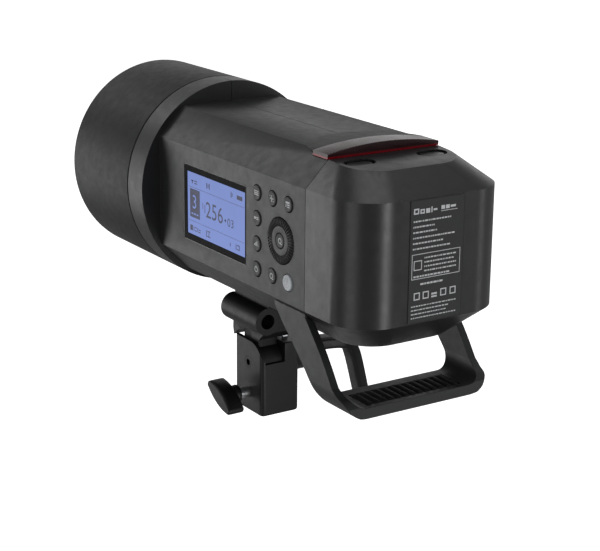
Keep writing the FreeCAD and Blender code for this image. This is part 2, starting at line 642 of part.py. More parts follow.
def electronics():
    """Main board, capacitors, transformer, heat sink and fan."""
    keep("main_board", block("hv_board", ("-42", "-36", "lamp_axis - 29"), ("-40.4", "80", "lamp_axis + 29")))
    cans = [rod(f"can_{index}", "17.2", "66", (x, "-40", f"lamp_axis + {z}"))
            for index, (x, z) in enumerate((("18", 18), ("-20", 18), ("18", -18), ("-20", -18)))]
    keep("capacitor_bank", group("cans", cans))
    keep("charge_transformer", block("core", ("-26", "32", "lamp_axis - 4"), ("4", "62", "lamp_axis + 24")))
    fins = [block(f"fin_{n}", (f"{-24 + 5 * n}", "34", "lamp_axis - 30"),
                  (f"{-24 + 5 * n} + 1.6", "74", "lamp_axis - 11")) for n in range(10)]
    base = block("sink_base", ("-24", "34", "lamp_axis - 11.5"), ("22.6", "74", "lamp_axis - 8"))
    keep("heat_sink", fuse("sink", base, *fins))
    square = block("fan_square", ("-30", "84", "lamp_axis - 30"), ("30", "96", "lamp_axis + 30"))
    hole = rod("fan_hole", "28", "14", ("0", "86.5", "lamp_axis"))
    axle = rod("fan_axle", "2.0", "7.5", ("0", "84.5", "lamp_axis"))
    keep("fan_frame", fuse("fan_frame_solid", cut("fan_ring", square, hole), axle))
    hub = cut("fan_hub", rod("hub", "10", "7.5", ("0", "87", "lamp_axis")),
              rod("hub_bore", "2.0 + fit_gap", "9", ("0", "86", "lamp_axis")))
    blades = []
    for index in range(7):
        blade = add("Part::Box", f"blade_{index}", Length=17.5, Width=1.2, Height=8.0)
        spin = Rotation(Y_AXIS, 360 * index / 7).multiply(Rotation(X_AXIS, 35))
        blade.Placement = Placement(Vector(), spin)
        reach = Rotation(Y_AXIS, 360 * index / 7).multVec(Vector(9, 0, -3))
        place(blade, (f"{reach.x:.3f}", "92.3", f"lamp_axis + {reach.z:.3f}"))
        blades.append(blade)
    clear = block("blade_room", ("-40", "87", "lamp_axis - 40"), ("40", "94.5", "lamp_axis + 40"))
    bore = rod("blade_bore", "9.5", "20", ("0", "80", "lamp_axis"))
    rotor = cut("blades_cut", common("blades_trim", fuse("blades", *blades), clear), bore)
    keep("fan_rotor", fuse("rotor", hub, rotor))
    at = ("-flat_half", "80", "lamp_axis - 12")
    jack = rod("jack", "4.0", "7", at, "X")
    hole = rod("jack_hole", "1.8", "5.5", ("-flat_half - 1", *at[1:]), "X")
    keep("sync_socket", cut("socket_hollow", jack, hole))


# Battery

def rounded_wire(half, front, rear, corner, front_height, rear_height):
    """A D-shaped wire: straight sides from the front, two round rear corners, on a sloping plane."""
    def height(y):
        return front_height + (rear_height - front_height) * (y - front) / (rear - front)

    def at(x, y):
        return Vector(x, y, height(y))

    diagonal = corner * (1 - math.sqrt(0.5))
    left, right = half, -half
    edges = [
        Part.LineSegment(at(right, front), at(left, front)),
        Part.LineSegment(at(left, front), at(left, rear - corner)),
        Part.Arc(at(left, rear - corner), at(left - diagonal, rear - diagonal), at(left - corner, rear)),
        Part.LineSegment(at(left - corner, rear), at(right + corner, rear)),
        Part.Arc(at(right + corner, rear), at(right + diagonal, rear - diagonal), at(right, rear - corner)),
        Part.LineSegment(at(right, rear - corner), at(right, front)),
    ]
    return Part.Wire([edge.toShape() for edge in edges])


def battery_shape():
    """Plan-rounded walls with a ruled bevel above and below them."""
    front, rear = cell("battery_front"), cell("battery_rear")
    half, edge, corner = cell("flat_half"), cell("flat_edge"), cell("battery_corner")
    inner, small = cell("shoulder_rear"), cell("shoulder_corner")
    top = cell("battery_top")
    low_wall = rounded_wire(half, front, rear, corner, -edge, -edge)
    high_wall = rounded_wire(half, front, rear, corner, edge, edge)
    walls = Part.Face(low_wall).extrude(Vector(0, 0, 2 * edge))
    upper_half = half + edge - top
    upper = rounded_wire(upper_half, front, inner, small, top, top - cell("battery_slope"))
    lower = rounded_wire(edge, front, inner, small, -half, -half)
    cap = Part.makeLoft([high_wall, upper], True, True)
    foot = Part.makeLoft([lower, low_wall], True, True)
    return walls.fuse([cap, foot]).removeSplitter()


def battery():
    """Battery case, its front plate, cells, board, contacts, label and release buttons."""
    solid = add("Part::Feature", "battery_solid")
    solid.Shape = battery_shape()
    place(solid, ("0", "0", "lamp_axis"))
    cavity = block("battery_cavity", ("-40", "battery_front - 1", "lamp_axis - 31"),
                   ("40", "battery_rear - 12", "lamp_axis + 32"))
    top_hollow = block("release_hollow", ("-33", "battery_front + 2.6", "lamp_axis + 31"),
                       ("33", "battery_front + 19", "lamp_axis + 41"))
    tools = [cavity, top_hollow]
    for name, sign in (("left", ""), ("right", "-")):
        tools.append(oval(f"{name}_release_hole", "9.35", "4.85", sign, "lamp_axis + 39", "12"))
    keep("battery_case", cut("case", solid, *tools))
    plate = block("battery_lid", ("-39.7", "battery_front", "lamp_axis - 30.7"),
                  ("39.7", "battery_front + 2.2", "lamp_axis + 31.7"))
    window = block("contact_window", ("-15", "battery_front - 1", "lamp_axis - 25"),
                   ("15", "battery_front + 3", "lamp_axis - 13"))
    keep("battery_front_plate", cut("lid", plate, window))
    cells = [rod(f"cell_{row}", "9.1", "64.8",
                 ("-32.4", "battery_front + 14.5", f"lamp_axis + {-20.5 + 18.6 * row}"),
                 "X") for row in range(3)]
    keep("battery_cells", group("cells", cells))
    keep("battery_board", block("bms", ("-30", "battery_front + 26", "lamp_axis - 28"),
                                ("30", "battery_front + 27.6", "lamp_axis + 28")))
    blades = [block(f"contact_{n}", (f"{-12 + 6 * n} - 1.8", "battery_front + 0.3", "lamp_axis - 23"),
                    (f"{-12 + 6 * n} + 1.8", "battery_front + 1.2", "lamp_axis - 15")) for n in range(5)]
    keep("battery_contacts", group("contacts", blades))
    label = new_body("label_body", "lamp_axis")
    wide, high = "label_half_width", "label_half_height"
    pad(label, "label_plate", "Y", "battery_rear + 0.01", "0.3",
        [(wide, high), (f"-{wide}", high), (f"-{wide}", f"-{high}"), (wide, f"-{high}")])
    keep("rating_label", label)
    for name, sign in (("left", ""), ("right", "-")):
        keep(f"{name}_release", oval(f"{name}_release_cap", "7.4", "4.0", sign, "lamp_axis + 41.5", "4.4"))


def oval(name, long_radius, short_radius, sign, height, length):
    """An upright oval post at the place of a release button."""
    body = new_body(f"{name}_body")
    sketch = sketch_on(body, f"{name}_sketch", "Z", height)
    long_value, short_value = float(long_radius), float(short_radius)
    centre = Vector(float(f"{sign}{cell('release_x')}"), cell("release_y"), 0)
    run = long_value - short_value
    ends = (centre + Vector(run, 0, 0), centre - Vector(run, 0, 0))
    arcs = ((ends[0], -90, 90), (ends[1], 90, 270))
    for middle, low, high in arcs:
        circle = Part.Circle(middle, Z_AXIS, short_value)
        sketch.addGeometry(Part.ArcOfCircle(circle, math.radians(low), math.radians(high)), False)
    up, down = Vector(0, short_value, 0), Vector(0, -short_value, 0)
    sketch.addGeometry(Part.LineSegment(ends[0] + up, ends[1] + up), False)
    sketch.addGeometry(Part.LineSegment(ends[1] + down, ends[0] + down), False)
    joins = ((0, 2, 2, 1), (2, 2, 1, 1), (1, 2, 3, 1), (3, 2, 0, 1))
    for first, first_end, second, second_end in joins:
        sketch.addConstraint(Sketcher.Constraint("Coincident", first, first_end, second, second_end))
    feature = body.newObject("PartDesign::Pad", f"{name}_pad")
    feature.Profile = sketch
    bind(feature, {"Length": length})
    return body


# Carrying handle

HANDLE_SIDE = (
    ("84.3", "102"), ("84.3", "97.3"), ("93.0", "88.6"), ("102.0", "81.0"), ("111.4", "72.6"),
    ("119.8", "63.8"), ("125.2", "56.6"), ("128.6", "52.0"), ("grip_front + 1.5", "grip_low"),
    ("grip_rear - 1.2", "grip_low"), ("grip_rear", "grip_low + 1.2"), ("grip_rear - 1.4", "grip_high + 1.0"),
    ("grip_rear - 4.6", "60.0"), ("146.0", "62.0"), ("141.4", "65.4"), ("135.4", "74.0"),
    ("130.2", "80.8"), ("122.8", "89.0"), ("114.8", "97.6"), ("114.8", "102"),
)


def handle():
    """U-shaped strap under the rear of the body, with a ribbed pad on its cross bar."""
    side = new_body("handle_side_body")
    pad(side, "handle_side", "X", "-handle_half - 1", "2 * handle_half + 2", list(HANDLE_SIDE))
    strap = add("Part::Feature", "handle_strap")
    strap.Shape = strap_shape()
    plan = add("Part::Feature", "handle_plan")
    plan.Shape = plan_shape()
    bare = common("handle_bare", common("handle_sided", side, strap), plan)
    clear = prism("handle_room", "60", "80", "flat_half + 0.3", "flat_edge + 0.1")
    recess = block("pad_recess", ("-31.4", "grip_front + 2.0", "grip_high - 1.4"),
                   ("31.4", "grip_rear - 5.0", "grip_high + 4"))
    keep("handle_frame", cut("handle", bare, clear, recess))
    base = block("pad_base", ("-31.0", "grip_front + 2.4", "grip_high - 1.3"),
                 ("31.0", "grip_rear - 5.4", "grip_high + 0.9"))
    pitch = 62.0 / cell("rib_count")
    grooves = [rod(f"groove_{n}", "1.0", "30", (f"{-31.0 + pitch * n:.3f}", "grip_front", "grip_high + 1.1"))
               for n in range(1, int(cell("rib_count")))]
    keep("grip_pad", cut("ribbed_pad", base, *grooves))


def strap_shape():
    """The strap seen from behind: two tapering arms and a cross bar with round corners."""
    half, low, strap = cell("handle_half"), cell("grip_low"), cell("strap")

    def ring(outer, base, corner):
        top = 104.0
        narrow = outer + 0.4
        points = [Vector(-outer, 60, top), Vector(-narrow, 60, base), Vector(narrow, 60, base),
                  Vector(outer, 60, top)]
        face = Part.Face(Part.makePolygon(points + points[:1]))
        solid = face.extrude(Vector(0, 110, 0))
        edges = [e for e in solid.Edges if abs(e.CenterOfMass.z - base) < 0.1 and runs_along(e, Y_AXIS)]
        return solid.makeFillet(corner, edges)

    thick = cell("grip_high") - low
    return ring(half, low, 15.0).cut(ring(half - strap, low + thick, 10.0))


def plan_shape():
    """The handle seen from above: the rear corners of the cross bar are round."""
    rear, corner = cell("grip_rear"), cell("grip_corner")
    wire = rounded_wire(49.0, 128.0, rear, corner, 0.0, 0.0)
    slab = Part.Face(wire).extrude(Vector(0, 0, 120))
    front = Part.makeBox(110, 78, 120, Vector(-55, 56, 0))
    return front.fuse(slab).removeSplitter()


stand_adapter()
cross_bolt()
tilt_lever()
stand_clamp()
umbrella_lock()
tilt_bracket()
bracket_screws()
shells()
rear_bulkhead()
sensor()
controls()
light_chamber()
lamp_cap()
electronics()
battery()
handle()

doc.recompute()
for item in doc.Objects:
    if {"Invalid", "Error"} & set(item.State):
        raise RuntimeError(f"{item.Label} did not compute: {item.State}")
os.makedirs("parts", exist_ok=True)
for name, feature in nodes.items():
    shape = feature.Shape
    if shape.isNull() or not shape.isValid() or not shape.Solids:
        raise RuntimeError(f"{name} has no valid solid")
for name, feature in nodes.items():
    feature.Shape.exportStep(f"parts/{name}.step")
print(len(nodes), "nodes written")
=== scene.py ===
import json
import logging
import math
from dataclasses import dataclass, field
from enum import Enum
from typing import Iterable, Sequence

import bmesh
import bpy
import numpy as np
from mathutils import Matrix, Vector


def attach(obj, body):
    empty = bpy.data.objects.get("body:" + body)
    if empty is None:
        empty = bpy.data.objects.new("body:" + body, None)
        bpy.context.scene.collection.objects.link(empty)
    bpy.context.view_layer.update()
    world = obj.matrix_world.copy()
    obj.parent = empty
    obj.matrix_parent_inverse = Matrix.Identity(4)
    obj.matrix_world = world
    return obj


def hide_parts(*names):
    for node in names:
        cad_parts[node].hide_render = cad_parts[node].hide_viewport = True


# Looks of a battery-powered studio flash head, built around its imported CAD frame.
# Places and sizes are in millimetres in the part's frame; meshes are written in metres.
# +Z is up, the lamp faces -Y, and the display is on +X. AXIS is the lamp axis's height.

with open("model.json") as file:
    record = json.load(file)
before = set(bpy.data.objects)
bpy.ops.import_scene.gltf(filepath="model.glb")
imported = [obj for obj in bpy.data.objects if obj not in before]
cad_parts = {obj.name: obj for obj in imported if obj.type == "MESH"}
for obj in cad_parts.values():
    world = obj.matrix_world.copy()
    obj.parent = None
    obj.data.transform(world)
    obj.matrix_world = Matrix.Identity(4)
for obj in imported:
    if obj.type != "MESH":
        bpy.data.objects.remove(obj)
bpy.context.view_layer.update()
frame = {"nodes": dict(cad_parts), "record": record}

MM = 0.001
AXIS = 135.2
PRINT_LIFT = 0.04
FONT_SIZE_OF_DIGIT = 1.38
log = logging.getLogger("flash_head")
Colour = tuple[float, float, float]


class Facing(Enum):
    """The direction in which a flat or turned piece looks."""

    LEFT = "X"
    REAR = "Y"
    UP = "Z"


def tone(red: int, green: int, blue: int) -> Colour:
    """Linear colour of an 8-bit display colour.

    Args:
        red, green, blue: display values from 0 to 255.

    Returns:
        The three linear values that a shader socket takes.
    """
    display = np.array([red, green, blue]) / 255
    linear = np.where(display <= 0.04045, display / 12.92, ((display + 0.055) / 1.055) ** 2.4)
    return tuple(float(value) for value in linear)


# Shapes as arrays

def unit(vectors: np.ndarray) -> np.ndarray:
    """Vectors scaled to length one along the last axis."""
    return vectors / np.maximum(np.linalg.norm(vectors, axis=-1, keepdims=True), 1e-12)


def rounded_outline(corners: Sequence[Sequence[float]], radii: float | Sequence[float],
                    steps: int = 8) -> np.ndarray:
    """Closed outline of a polygon whose corners are arcs.

    Each corner's arc is centred on the bisector, radius over the sine of the half angle away from it,
    and runs between the two tangent points by spherical interpolation of the spokes.

    Args:
        corners: the polygon's corners in order.
        radii: one radius for all corners, or one each.
        steps: points on each arc.

    Returns:
        An array of points with two columns.
    """
    at = np.array(corners, float)
    radius = np.broadcast_to(np.array(radii, float), len(at))[:, None]
    back, ahead = unit(np.roll(at, 1, 0) - at), unit(np.roll(at, -1, 0) - at)
    half = np.arccos(np.clip((back * ahead).sum(1), -1, 1))[:, None] / 2
    middle = at + unit(back + ahead) * radius / np.sin(half)
    first = unit(at + back * radius / np.tan(half) - middle)
    last = unit(at + ahead * radius / np.tan(half) - middle)
    sweep = (np.pi - 2 * half)[:, None]
    share = np.linspace(0, 1, steps)[None, :, None]
    spokes = (np.sin((1 - share) * sweep) * first[:, None] + np.sin(share * sweep) * last[:, None]) / np.sin(sweep)
    return (middle[:, None] + radius[:, None] * spokes).reshape(-1, 2)


def rectangle(low_u: float, high_u: float, low_v: float, high_v: float, radius: float = 0.5,
              steps: int = 6) -> np.ndarray:
    """Outline of a rectangle with round corners, anticlockwise."""
    return rounded_outline([(low_u, low_v), (high_u, low_v), (high_u, high_v), (low_u, high_v)], radius, steps)


def circle(u: float, v: float, radius: float, count: int = 48) -> np.ndarray:
    """Outline of a circle, anticlockwise."""
    turn = np.linspace(0, 2 * np.pi, count, endpoint=False)
    return np.stack([u + radius * np.cos(turn), v + radius * np.sin(turn)], axis=-1)


def inset(outline: np.ndarray, depth: float) -> np.ndarray:
    """The outline moved inwards along its own normals."""
    along = unit(np.roll(outline, -1, 0) - np.roll(outline, 1, 0))
    return outline + np.stack([-along[:, 1], along[:, 0]], axis=-1) * depth


def lift(flat: np.ndarray, height: np.ndarray | float, facing: Facing) -> np.ndarray:
    """Puts flat points into the part's frame at a height along the way they face.

    LEFT takes (y, z), REAR takes (x, z) and UP takes (x, y).
    """
    u, v = flat[..., 0], flat[..., 1]
    h = np.broadcast_to(height, u.shape)
    order = {Facing.LEFT: (h, u, v), Facing.REAR: (u, h, v), Facing.UP: (u, v, h)}[facing]
    return np.stack(order, axis=-1)


def turned(profile: np.ndarray, centre: Sequence[float], facing: Facing, count: int = 96) -> np.ndarray:
    """A profile of (radius, height) rows turned about an axis through centre.

    Point (i, j) is centre plus radius j at angle i across the axis and height j along it.
    """
    turn = np.linspace(0, 2 * np.pi, count, endpoint=False)[:, None]
    radius, height = profile[None, :, 0], profile[None, :, 1]
    flat = np.stack([radius * np.cos(turn), radius * np.sin(turn)], axis=-1)
    return lift(flat, np.broadcast_to(height, flat.shape[:2]), facing) + np.array(centre, float)


def swept(path: np.ndarray, sections: np.ndarray, side: Sequence[float]) -> np.ndarray:
    """Cross-sections carried along a path.

    Row i is path point i plus each section point's u along the side direction made square to the path,
    and v along the third direction.

    Args:
        path: points in the part's frame.
        sections: one outline of (u, v) points for each path point.
        side: the direction that u keeps to.

    Returns:
        A grid of points, one row for each path point.
    """
    forward = unit(np.gradient(path, axis=0))
    across = unit(np.array(side, float) - (forward @ np.array(side, float))[:, None] * forward)
    third = np.cross(forward, across)
    return path[:, None] + sections[..., :1] * across[:, None] + sections[..., 1:] * third[:, None]


def smooth_path(points: Sequence[Sequence[float]], count: int) -> np.ndarray:
    """Points along a uniform cubic B-spline whose ends are held, worked out with its basis matrix."""
    knots = np.array(points, float)
    knots = np.vstack([2 * knots[:1] - knots[1:2], knots, 2 * knots[-1:] - knots[-2:-1]])
    place = np.linspace(0, len(knots) - 3 - 1e-9, count)
    span, t = place.astype(int), (place % 1)[:, None]
    basis = np.hstack([(1 - t) ** 3, 3 * t ** 3 - 6 * t ** 2 + 4, -3 * t ** 3 + 3 * t ** 2 + 3 * t + 1, t ** 3]) / 6
    return np.einsum("ij,ijk->ik", basis, knots[span[:, None] + np.arange(4)])


class Surface:
    """Point grids and flat faces, in millimetres, that become one mesh."""

    def __init__(self) -> None:
        """Starts with nothing in it."""
        self.points: list[np.ndarray] = []
        self.faces: list[list[int]] = []
        self.count = 0

    def grid(self, points: np.ndarray, wrap_rows: bool = False, wrap_columns: bool = False) -> "Surface":
        """Adds a grid of quads; wrapping joins the last row or column to the first."""
        rows, columns = points.shape[:2]
        index = np.arange(rows * columns).reshape(rows, columns) + self.count
        index = np.vstack([index, index[:1]]) if wrap_rows else index
        index = np.hstack([index, index[:, :1]]) if wrap_columns else index
        quads = np.stack([index[:-1, :-1], index[1:, :-1], index[1:, 1:], index[:-1, 1:]], axis=-1)
        self.points.append(points.reshape(-1, 3))
        self.faces += quads.reshape(-1, 4).tolist()
        self.count += rows * columns
        return self

    def face(self, points: np.ndarray) -> "Surface":
        """Adds one flat face."""
        self.points.append(points)
        self.faces.append(list(range(self.count, self.count + len(points))))
        self.count += len(points)
        return self

    def tube(self, rings: np.ndarray) -> "Surface":
        """Adds a closed solid from rings of points, with a face over each end ring."""
        return self.grid(rings, wrap_columns=True).face(rings[0]).face(rings[-1])

    def slab(self, outline: np.ndarray, low: float, high: float, facing: Facing,
             edge: float = 0.0, foot: float = 0.0) -> "Surface":
        """Adds a plate with quarter-round edges.

        Ring k of an edge is the outline moved in by edge times (1 - sine) and down by edge times (1 - cosine)
        of an angle that runs over a quarter turn.

        Args:
            outline: the plate's outline.
            low: height of the back face.
            high: height of the front face.
            facing: the way the front face looks.
            edge: radius of the front edge.
            foot: radius of the back edge.
        """
        turn = np.linspace(0, np.pi / 2, 5)
        rounds = []
        if foot:
            rounds += [(foot * (1 - math.sin(a)), low + foot * (1 - math.cos(a))) for a in turn]
        else:
            rounds.append((0.0, low))
        if edge:
            rounds += [(edge * (1 - math.cos(a)), high - edge * (1 - math.sin(a))) for a in turn]
        else:
            rounds.append((0.0, high))
        return self.tube(np.stack([lift(inset(outline, depth), height, facing) for depth, height in rounds]))

    def ring(self, outer: np.ndarray, inner: np.ndarray, low: float, high: float, facing: Facing,
             edge: float = 0.2) -> "Surface":
        """Adds a frame between two outlines of the same number of points, with small chamfers in front."""
        loops = [lift(outer, low, facing), lift(outer, high - edge, facing), lift(inset(outer, edge), high, facing),
                 lift(inset(inner, -edge), high, facing), lift(inner, high - edge, facing), lift(inner, low, facing)]
        return self.grid(np.stack(loops), wrap_rows=True, wrap_columns=True)

    def bars(self, boxes: Iterable[Sequence[float]], low: float, high: float, facing: Facing) -> "Surface":
        """Adds flat rectangles given as (low u, high u, low v, high v)."""
        for low_u, high_u, low_v, high_v in boxes:
            corners = np.array([(low_u, low_v), (high_u, low_v), (high_u, high_v), (low_u, high_v)])
            self.tube(np.stack([lift(corners, low, facing), lift(corners, high, facing)]))
        return self

    def build(self, name: str, crease: float = 32.0) -> bpy.types.Object:
        """Makes the mesh object, merged, with outward normals and sharp edges past the crease angle."""
        mesh = bpy.data.meshes.new(name)
        mesh.from_pydata((np.vstack(self.points) * MM).tolist(), [], self.faces)
        work = bmesh.new()
        work.from_mesh(mesh)
        bmesh.ops.remove_doubles(work, verts=work.verts, dist=2e-6)
        bmesh.ops.dissolve_degenerate(work, edges=work.edges, dist=1e-6)
        bmesh.ops.recalc_face_normals(work, faces=work.faces)
        work.to_mesh(mesh)
        work.free()
        return as_object(name, mesh, crease)


def as_object(name: str, mesh: bpy.types.Mesh, crease: float) -> bpy.types.Object:
    """Links a mesh as an object at the origin, smooth up to the crease angle in degrees."""
    mesh.polygons.foreach_set("use_smooth", np.ones(len(mesh.polygons), bool))
    mesh.set_sharp_from_angle(angle=math.radians(crease))
    thing = bpy.data.objects.new(name, mesh)
    bpy.context.scene.collection.objects.link(thing)
    return thing


def merged_copy(nodes: Sequence[str], name: str) -> bpy.types.Object:
    """A merged copy of CAD nodes with their flat faces joined."""
    work = bmesh.new()
    for node in nodes:
        work.from_mesh(frame["nodes"][node].data)
    bmesh.ops.remove_doubles(work, verts=work.verts, dist=3e-6)
    bmesh.ops.dissolve_limit(work, angle_limit=math.radians(0.6), verts=work.verts, edges=work.edges,
                             use_dissolve_boundaries=False)
    mesh = bpy.data.meshes.new(name)
    work.to_mesh(mesh)
    work.free()
    return as_object(name, mesh, 32.0)


def soften(thing: bpy.types.Object, radius: float, segments: int = 3, angle: float = 30.0) -> bpy.types.Object:
    """Rounds the edges of a piece that turn more than the angle, as a mould does."""
    bevel = thing.modifiers.new("edges", "BEVEL")
    bevel.width, bevel.segments = radius * MM, segments
    bevel.limit_method, bevel.angle_limit = "ANGLE", math.radians(angle)
    bevel.miter_outer = "MITER_ARC"
    bevel.harden_normals = False
    return thing


def written(text: str, size: float, place: Sequence[float], facing: Facing, stretch: float = 1.0) -> np.ndarray:
    """Flat triangles of a short text.

    Args:
        text: digits or signs.
        size: height of a digit in millimetres.
        place: u, v of the lower left corner and the height of the face.
        facing: the way the text looks.
        stretch: width of a digit against its usual width.

    Returns:
        An array of (triangle, corner, 3) points in the part's frame, PRINT_LIFT above the face.
    """
    curve = bpy.data.curves.new("text", "FONT")
    curve.body, curve.size, curve.resolution_u = text, size * FONT_SIZE_OF_DIGIT, 3
    helper = bpy.data.objects.new("text", curve)
    mesh = bpy.data.meshes.new_from_object(helper)
    mesh.calc_loop_triangles()
    co = np.empty(len(mesh.vertices) * 3)
    mesh.vertices.foreach_get("co", co)
    corners = np.empty(len(mesh.loop_triangles) * 3, int)
    mesh.loop_triangles.foreach_get("vertices", corners)
    flat = co.reshape(-1, 3)[:, :2] * (stretch, 1.0) + np.array(place[:2])
    bpy.data.objects.remove(helper)
    bpy.data.curves.remove(curve)
    bpy.data.meshes.remove(mesh)
    return lift(flat[corners].reshape(-1, 3, 2), place[2] + PRINT_LIFT, facing)


# Finishes

class Bench:
    """Adds and joins the shader nodes of one material."""

    def __init__(self, name: str) -> None:
        """Starts a material that holds one principled shader."""
        self.material = bpy.data.materials.new(name)
        self.material.use_nodes = True
        self.tree = self.material.node_tree
        self.shader = next(n for n in self.tree.nodes if n.type == "BSDF_PRINCIPLED")
        self.where = self.tree.nodes.new("ShaderNodeTexCoord").outputs["Object"]

    def set(self, **values: float | Sequence[float]) -> None:
        """Sets the shader's own sockets; underscores in a name stand for spaces."""
        for key, value in values.items():
            socket = self.shader.inputs[key.replace("_", " ")]
            socket.default_value = (*value, 1.0) if isinstance(value, tuple) and len(value) == 3 else value

    def join(self, source: bpy.types.NodeSocket, name: str) -> None:
        """Joins a socket to the shader's named input."""
        self.tree.links.new(source, self.shader.inputs[name])

    def stretched(self, scale: Sequence[float]) -> bpy.types.NodeSocket:
        """Object coordinates scaled by axis."""
        node = self.tree.nodes.new("ShaderNodeMapping")
        node.inputs["Scale"].default_value = scale
        self.tree.links.new(self.where, node.inputs["Vector"])
        return node.outputs["Vector"]

    def noise(self, scale: float, detail: float = 2.0, rough: float = 0.5,
              where: bpy.types.NodeSocket | None = None) -> bpy.types.NodeSocket:
        """A noise value; scale is in features per metre."""
        node = self.tree.nodes.new("ShaderNodeTexNoise")
        node.inputs["Scale"].default_value = scale
        node.inputs["Detail"].default_value = detail
        node.inputs["Roughness"].default_value = rough
        self.tree.links.new(where or self.where, node.inputs["Vector"])
        return node.outputs["Fac"]

    def cells(self, scale: float) -> bpy.types.NodeSocket:
        """Distance to the nearest of scattered points; scale is in points per metre."""
        node = self.tree.nodes.new("ShaderNodeTexVoronoi")
        node.inputs["Scale"].default_value = scale
        self.tree.links.new(self.where, node.inputs["Vector"])
        return node.outputs["Distance"]

    def spread(self, value: bpy.types.NodeSocket, low: float, high: float, to_low: float,
               to_high: float) -> bpy.types.NodeSocket:
        """A value's range from low to high mapped to another range."""
        node = self.tree.nodes.new("ShaderNodeMapRange")
        for index, number in enumerate((low, high, to_low, to_high), start=1):
            node.inputs[index].default_value = number
        self.tree.links.new(value, node.inputs[0])
        return node.outputs[0]

    def blend(self, share: bpy.types.NodeSocket, first: Colour | bpy.types.NodeSocket,
              second: Colour | bpy.types.NodeSocket) -> bpy.types.NodeSocket:
        """A colour between two, by share."""
        node = self.tree.nodes.new("ShaderNodeMix")
        node.data_type = "RGBA"
        self.tree.links.new(share, node.inputs[0])
        for socket, colour in ((node.inputs[6], first), (node.inputs[7], second)):
            if isinstance(colour, tuple):
                socket.default_value = (*colour, 1.0)
            else:
                self.tree.links.new(colour, socket)
        return node.outputs[2]

    def relief(self, height: bpy.types.NodeSocket, depth: float) -> bpy.types.NodeSocket:
        """A normal bent by a height; depth is in millimetres."""
        node = self.tree.nodes.new("ShaderNodeBump")
        node.inputs["Distance"].default_value = depth * MM
        node.inputs["Strength"].default_value = 1.0
        self.tree.links.new(height, node.inputs["Height"])
        return node.outputs["Normal"]

    def height_of(self, axis: int) -> bpy.types.NodeSocket:
        """One coordinate of the place, in metres."""
        node = self.tree.nodes.new("ShaderNodeSeparateXYZ")
        self.tree.links.new(self.where, node.inputs[0])
        return node.outputs[axis]


def scaled(colour: Colour, share: float) -> Colour:
    """A colour made lighter or darker."""
    return tuple(min(1.0, value * share) for value in colour)


# Materials made so far, by the finish's name. The frame's own materials share some of these names,
# so the finishes' materials are kept apart from them.
MADE: dict[str, bpy.types.Material] = {}


@dataclass(frozen=True)
class Finish:
    """A named finish whose material is made once."""

    name: str
    colour: Colour
    roughness: float = 0.5

    def material(self) -> bpy.types.Material:
        """The finish's material, made at first use."""
        if self.name not in MADE:
            MADE[self.name] = self.make(Bench(f"{self.name}_look"))
        return MADE[self.name]

    def make(self, bench: Bench) -> bpy.types.Material:
        """Fills the bench with this finish's nodes."""
        raise NotImplementedError


@dataclass(frozen=True)
class MouldedPlastic(Finish):
    """Plastic from a spark-eroded or satin mould: fine grain, faint flow marks and rubbed patches."""

    grain: float = 0.45
    relief: float = 0.012
    mottle: float = 0.10
    gloss: float = 0.5

    def make(self, bench: Bench) -> bpy.types.Material:
        """Grain bump, broad tone change, and roughness that varies with rubbing."""
        bench.set(Specular_IOR_Level=self.gloss)
        fine = bench.noise(1000 / self.grain, 2.0, 0.6)
        broad = bench.spread(bench.noise(22, 3.0), 0.3, 0.7, 0.0, 1.0)
        rubbed = bench.noise(190, 5.0, 0.65)
        base = bench.blend(broad, scaled(self.colour, 1 - self.mottle), scaled(self.colour, 1 + self.mottle))
        speck = bench.spread(fine, 0.35, 0.65, 0.0, 1.0)
        lit = bench.blend(speck, scaled(self.colour, 0.82), scaled(self.colour, 1.25))
        mixed = bench.blend(bench.spread(rubbed, 0.3, 0.7, 0.25, 0.5), base, lit)
        bench.join(mixed, "Base Color")
        bench.join(bench.spread(rubbed, 0.3, 0.7, self.roughness - 0.05, self.roughness + 0.06), "Roughness")
        bench.join(bench.relief(fine, self.relief), "Normal")
        return bench.material


@dataclass(frozen=True)
class Rubber(Finish):
    """Soft dark rubber with a dusty bloom."""

    def make(self, bench: Bench) -> bpy.types.Material:
        """Patchy bloom in colour and roughness over a fine pebble."""
        bench.set(Specular_IOR_Level=0.35)
        bloom = bench.spread(bench.noise(120, 5.0, 0.7), 0.35, 0.75, 0.0, 1.0)
        bench.join(bench.blend(bloom, self.colour, scaled(self.colour, 1.7)), "Base Color")
        bench.join(bench.spread(bloom, 0, 1, self.roughness, self.roughness + 0.12), "Roughness")
        bench.join(bench.relief(bench.cells(1500), 0.03), "Normal")
        return bench.material


@dataclass(frozen=True)
class Metal(Finish):
    """Turned, plated or brushed metal."""

    lines: Sequence[float] = (40.0, 900.0, 900.0)
    relief: float = 0.004
    stain: float = 0.15

    def make(self, bench: Bench) -> bpy.types.Material:
        """Long fine lines in bump and roughness, and a faint stain in the colour."""
        bench.set(Metallic=1.0)
        lines = bench.noise(1.0, 3.0, 0.6, bench.stretched(self.lines))
        stain = bench.spread(bench.noise(60, 4.0), 0.3, 0.7, 0.0, 1.0)
        bench.join(bench.blend(stain, scaled(self.colour, 1 - self.stain), self.colour), "Base Color")
        bench.join(bench.spread(lines, 0.3, 0.7, self.roughness * 0.8, self.roughness * 1.3), "Roughness")
        bench.join(bench.relief(lines, self.relief), "Normal")
        return bench.material


@dataclass(frozen=True)
class ClearGlass(Finish):
    """Clear glass with a faint smear."""

    def make(self, bench: Bench) -> bpy.types.Material:
        """Full transmission with slightly uneven roughness."""
        bench.set(Transmission_Weight=1.0, IOR=1.47)
        smear = bench.noise(35, 4.0, 0.6)
        bench.join(bench.blend(smear, self.colour, scaled(self.colour, 0.97)), "Base Color")
        bench.join(bench.spread(smear, 0.35, 0.7, self.roughness, self.roughness + 0.05), "Roughness")
        return bench.material


